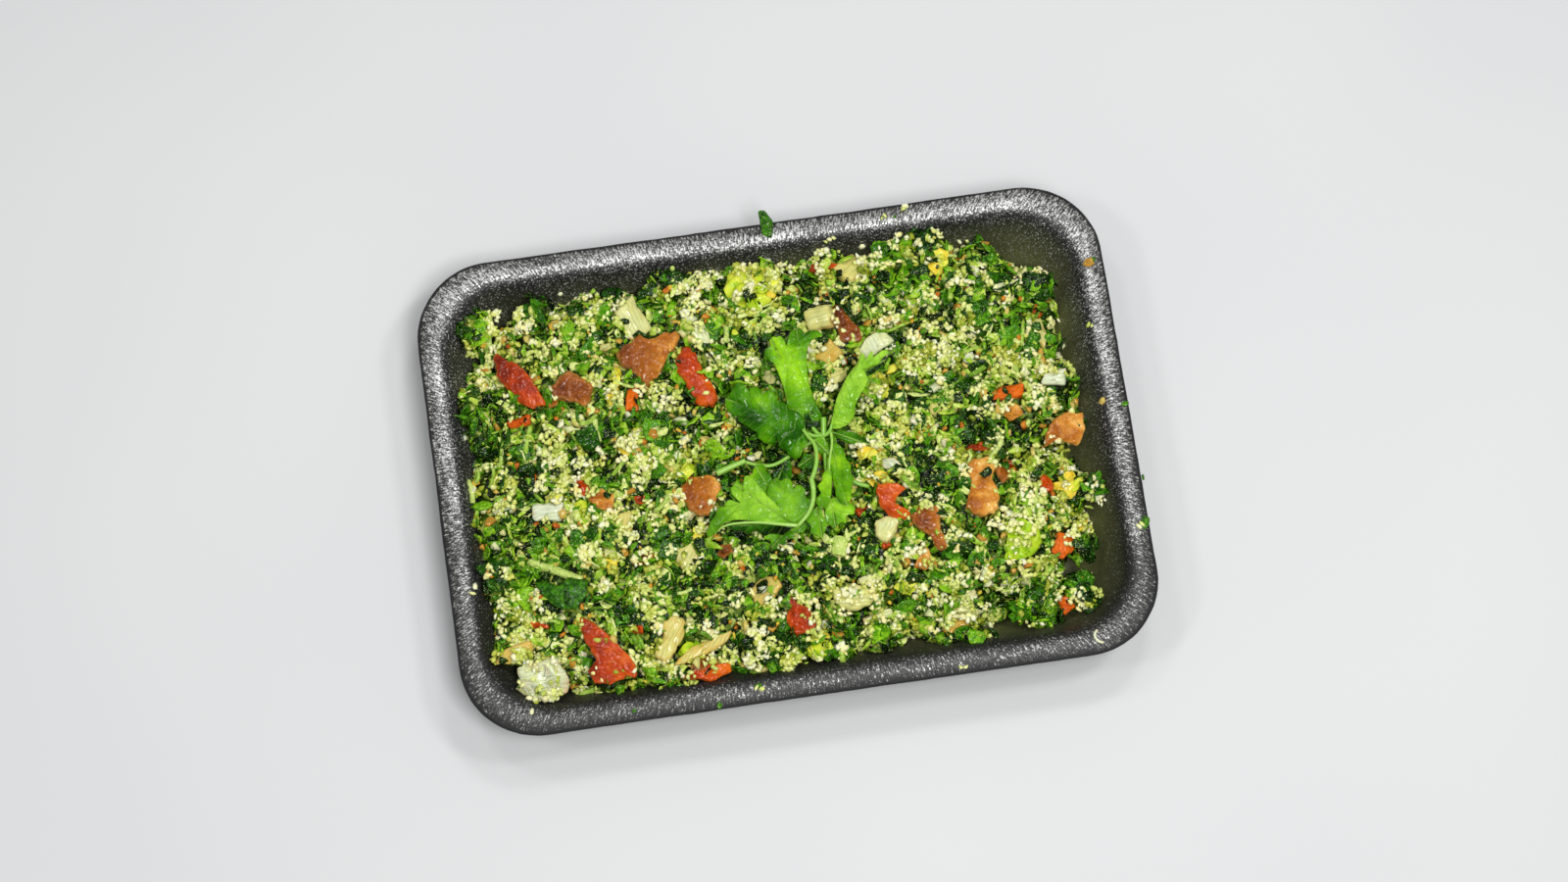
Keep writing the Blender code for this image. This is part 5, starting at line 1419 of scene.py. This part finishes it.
def build_strays(foam):
    """Crumbs, herb flecks, a torn leaf over the back lip and a white curl of onion on the tray."""
    chance = np.random.default_rng(71)
    grains = bulgur_shapes(chance, 6)
    spots, normals = (np.array(found) for found in zip(*(foam.below(x * MM, y * MM) for x, y in STRAY_GRAINS)))
    sizes = chance.uniform(0.7, 1.05, len(spots))
    points, faces, marks = strew(grains, chance, spots, normals, sizes, 0.5, np.full(len(spots), 0.5))
    add_piece("stray_grains", points, faces, bpy.data.materials["swollen_bulgur"], marks)
    parts = []
    for x, y, size, turn in STRAY_HERBS:
        part = leaf_piece(chance, knife_outline(chance, 2 * size, 1.3 * size, turn, 6), 0.3, count=16, rings=3, crown=0.2)
        parts.append(set_down(foam, part, x, y, 0.3, 0.5))
    torn = knife_outline(chance, 10, 4.6, 100, 5)
    part = leaf_piece(chance, torn, 0.5, count=30, rings=6, crown=0.9)
    parts.append(set_down(foam, part, 5, 72.3, 1.2, 0.45, (0, -0.2)))
    herbs = joined(parts)
    add_piece("stray_herbs", herbs[0], herbs[1], bpy.data.materials["chopped_parsley_leaf"], herbs[2])
    curl = smooth_route(((83.6, -66, 0), (82.6, -67.4, 0), (83.2, -69.2, 0), (84.8, -70, 0)), 6)
    for point in curl:
        point[2] = foam.rest(point[0] * MM, point[1] * MM, 0.5 * MM)[0][2] / MM + 0.3
    points, faces = tube(curl, 0.45, sides=8)
    flakes = [(points * MM, faces, {mark: np.full(len(points), 0.9) for mark in ("tone", "edge", "along", "across")})]
    part = slab(chance, knife_outline(chance, 3.6, 3.0, 10, 5), 2.0)
    flakes.append(set_down(foam, part, 99.6, 46, 0.8, 0.12))
    part = slab(chance, knife_outline(chance, 2.4, 2.0, 10, 5), 1.4)
    flakes.append(set_down(foam, part, 97, 3, 0.6, 0.3))
    bits = joined(flakes)
    add_piece("stray_onion", bits[0], bits[1], bpy.data.materials["sliced_onion"], bits[2])


# ------------------------------------------------------------------ the laid pieces together

def add_laid(name, parts, finish):
    """Laid pieces of one kind as one mesh."""
    points, faces, marks = joined(parts)
    add_piece(name, points, faces, finish, marks)
    return points, faces


def laid_pieces(ground):
    """The larger cut pieces, and their solids for the loose pieces to fall on."""
    chance = np.random.default_rng(23)
    skins = cut_pieces(ground, chance, TOMATO_SKIN_CUTS) + wedge_pieces(ground, chance, RED_WEDGES)
    flesh = cut_pieces(ground, chance, TOMATO_FLESH_CUTS) + wedge_pieces(ground, chance, BROWN_WEDGES)
    onions = cut_pieces(ground, chance, ONION_CUTS, bow=0.16)
    lettuce = leafy_pieces(ground, chance, LETTUCE_CUTS, 2.2) + tufts(ground, chance, LETTUCE_CUTS, 6, (1.6, 3.4), 1.4)
    onions += wedge_pieces(ground, chance, ONION_WEDGES, 60) + wedge_pieces(ground, chance, STRIPED_SLICE, 115)
    white, middle = broad_leaf(ground, chance, WHITE_LEAF)
    onions += [white, *tufts(ground, chance, ((*middle, 13, 10, 0, 0.9),), 0, (2.0, 3.8), 2.2)]
    leaves = leafy_pieces(ground, chance, LEAF_CUTS, 3.4) + tufts(ground, chance, LEAF_CUTS, 5, (2.0, 4.4), 1.2)
    leaves.append(broad_leaf(ground, chance, BROAD_LEAF)[0])
    stalks = laid_stalks(ground, chance)
    stalks.append(spring_onion(ground))
    red = ((0.0, "#521604"), (0.3, "#8c2602"), (0.6, "#c03e02"), (1.0, "#e46a0c"))
    brown = ((0.0, "#5a2608"), (0.3, "#8c460e"), (0.6, "#b06414"), (0.85, "#d89030"), (1.0, "#ecb458"))
    solids = [
        add_laid("tomato_skin_pieces", skins, tomato("tomato_skin", red, "#f07830", 0.12)),
        add_laid("tomato_flesh_pieces", flesh, tomato("tomato_flesh", brown, "#eeb060", 0.3)),
        add_laid("onion_pieces", onions, cut_onion()),
        add_laid("lettuce_shreds", lettuce, pale_lettuce()),
        add_laid("parsley_leaf_pieces", leaves, wet_parsley("torn_parsley_leaf", MIXED_HERB, 0.1)),
        add_laid("salad_stalks", stalks, wet_parsley("laid_stalk", STALK_GREEN, 0.3)),
    ]
    cuts = joined([(*solid, {}) for solid in solids])
    return Ground(*solids), cuts[:2]


def spring_onion(ground):
    """The green tube of a spring onion, cut square, its open end a ring."""
    corners, radius = SPRING_ONION
    route = smooth_route(np.column_stack([corners, np.zeros(len(corners))]), 4)
    route[:, 2] = ground.rest(12 * MM, -29 * MM, 3 * MM)[0][2] / MM + 1.2
    inner = route[::-1] * (1, 1, 1)
    line = np.vstack([route, inner])
    radii = np.concatenate([np.full(len(route), radius), np.full(len(route), radius * 0.66)])
    ahead = unit(np.vstack([np.gradient(route, axis=0)] * 2))
    ahead[len(route):] = ahead[:len(route)][::-1]
    side = unit(np.cross(ahead, np.array((0.0, 0, 1))))
    above = np.cross(side, ahead)
    sides = 20
    angles = np.arange(sides) * 2 * math.pi / sides
    ring = side[:, None] * np.cos(angles)[:, None] + above[:, None] * 0.8 * np.sin(angles)[:, None]
    points = (line[:, None] + ring * radii[:, None, None]).reshape(-1, 3)
    step, rows = np.arange(sides), len(line)
    faces = []
    for row in range(rows):
        near, far = row * sides, (row + 1) % rows * sides
        beyond = (step + 1) % sides
        faces.append(np.column_stack([near + step, far + beyond, far + step]))
        faces.append(np.column_stack([near + step, near + beyond, far + beyond]))
    marks = {mark: np.zeros(len(points)) for mark in ("edge", "along", "across")}
    marks = {"tone": np.full(len(points), 0.85), **marks}
    return points * MM, np.concatenate(faces), marks


# ------------------------------------------------------------------ floor, light and camera

CAMERA_AZIMUTH = math.radians(-8.385)
CAMERA_ELEVATION = math.radians(76.159)
CAMERA_TARGET = (1.3, 10.5, 0.0)
CAMERA_DISTANCE = 1103.85
LENS = 82.65


def add_floor():
    """A pale matt sweep for the tray to stand on."""
    finish, tree, shader = new_finish("pale_board", {"Roughness": 0.75, "Specular IOR Level": 0.3})
    place = node(tree, "TexCoord").outputs["Object"]
    cloud = node(tree, "TexNoise", {"Vector": place, "Scale": 1 / (160 * MM), "Detail": 1.0}).outputs["Fac"]
    tint = node(tree, "ValToRGB", {"Fac": cloud}, stops=((0.3, "#dbdcdd"), (0.7, "#dfe0e0"))).outputs[0]
    tree.links.new(tint, shader.inputs["Base Color"])
    mesh = bpy.data.meshes.new("floor")
    half = 1500 * MM
    mesh.from_pydata([(-half, -half, 0), (half, -half, 0), (half, half, 0), (-half, half, 0)], [], [(0, 1, 2, 3)])
    mesh.materials.append(finish)
    floor = bpy.data.objects.new("floor", mesh)
    floor.location.z = -0.02 * MM
    bpy.context.scene.collection.objects.link(floor)


def add_softbox(name, azimuth, elevation, distance, size, power):
    """A square soft light aimed at the tray from an azimuth round it and an elevation above it."""
    light = bpy.data.lights.new(name, "AREA")
    light.shape = "SQUARE"
    light.size = size * MM
    light.energy = power
    lamp = bpy.data.objects.new(name, light)
    a, e = math.radians(azimuth), math.radians(elevation)
    back = Vector((math.sin(a) * math.cos(e), -math.cos(a) * math.cos(e), math.sin(e)))
    lamp.location = back * distance * MM
    lamp.rotation_euler = back.to_track_quat("Z", "Y").to_euler()
    bpy.context.scene.collection.objects.link(lamp)


def add_light():
    """Even studio light: a bright room and a ring of softboxes, the strongest high up in front."""
    world = bpy.data.worlds.new("studio")
    world.use_nodes = True
    world.node_tree.nodes["Background"].inputs["Color"].default_value = (1.0, 1.0, 1.0, 1.0)
    world.node_tree.nodes["Background"].inputs["Strength"].default_value = 0.26
    bpy.context.scene.world = world
    add_softbox("softbox_front", 20, 73, 1000, 240, 4.8)
    add_softbox("softbox_right", 95, 66, 1000, 120, 1.4)
    add_softbox("softbox_left", 275, 62, 1000, 120, 1.0)
    add_softbox("softbox_back_right", 150, 66, 1000, 140, 1.2)
    add_softbox("softbox_back_left", 215, 68, 1000, 120, 0.7)


def add_camera():
    """The camera, almost overhead and turned a little to the left of the tray's front."""
    lens = bpy.data.cameras.new("camera")
    lens.lens = LENS
    lens.sensor_width = 36
    lens.clip_start = 10 * MM
    camera = bpy.data.objects.new("camera", lens)
    flat = math.cos(CAMERA_ELEVATION)
    back = Vector((math.sin(CAMERA_AZIMUTH) * flat, -math.cos(CAMERA_AZIMUTH) * flat, math.sin(CAMERA_ELEVATION)))
    camera.location = (Vector(CAMERA_TARGET) + back * CAMERA_DISTANCE) * MM
    camera.rotation_euler = back.to_track_quat("Z", "Y").to_euler()
    bpy.context.scene.collection.objects.link(camera)
    bpy.context.scene.camera = camera


bpy.context.scene.view_settings.view_transform = "Standard"
tray = build_tray()
foam = Ground(triangles_of(tray.data))
core = build_core(np.random.default_rng(11), foam)
core_skin = triangles_of(core.data)
laid, cuts = laid_pieces(Ground(core_skin))
outline = Ground(triangles_of(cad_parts["salad"].data)).tree
loose_pieces((core_skin, laid, cuts, outline, foam))
build_strays(foam)
build_sprig()
add_floor()
add_light()
add_camera()
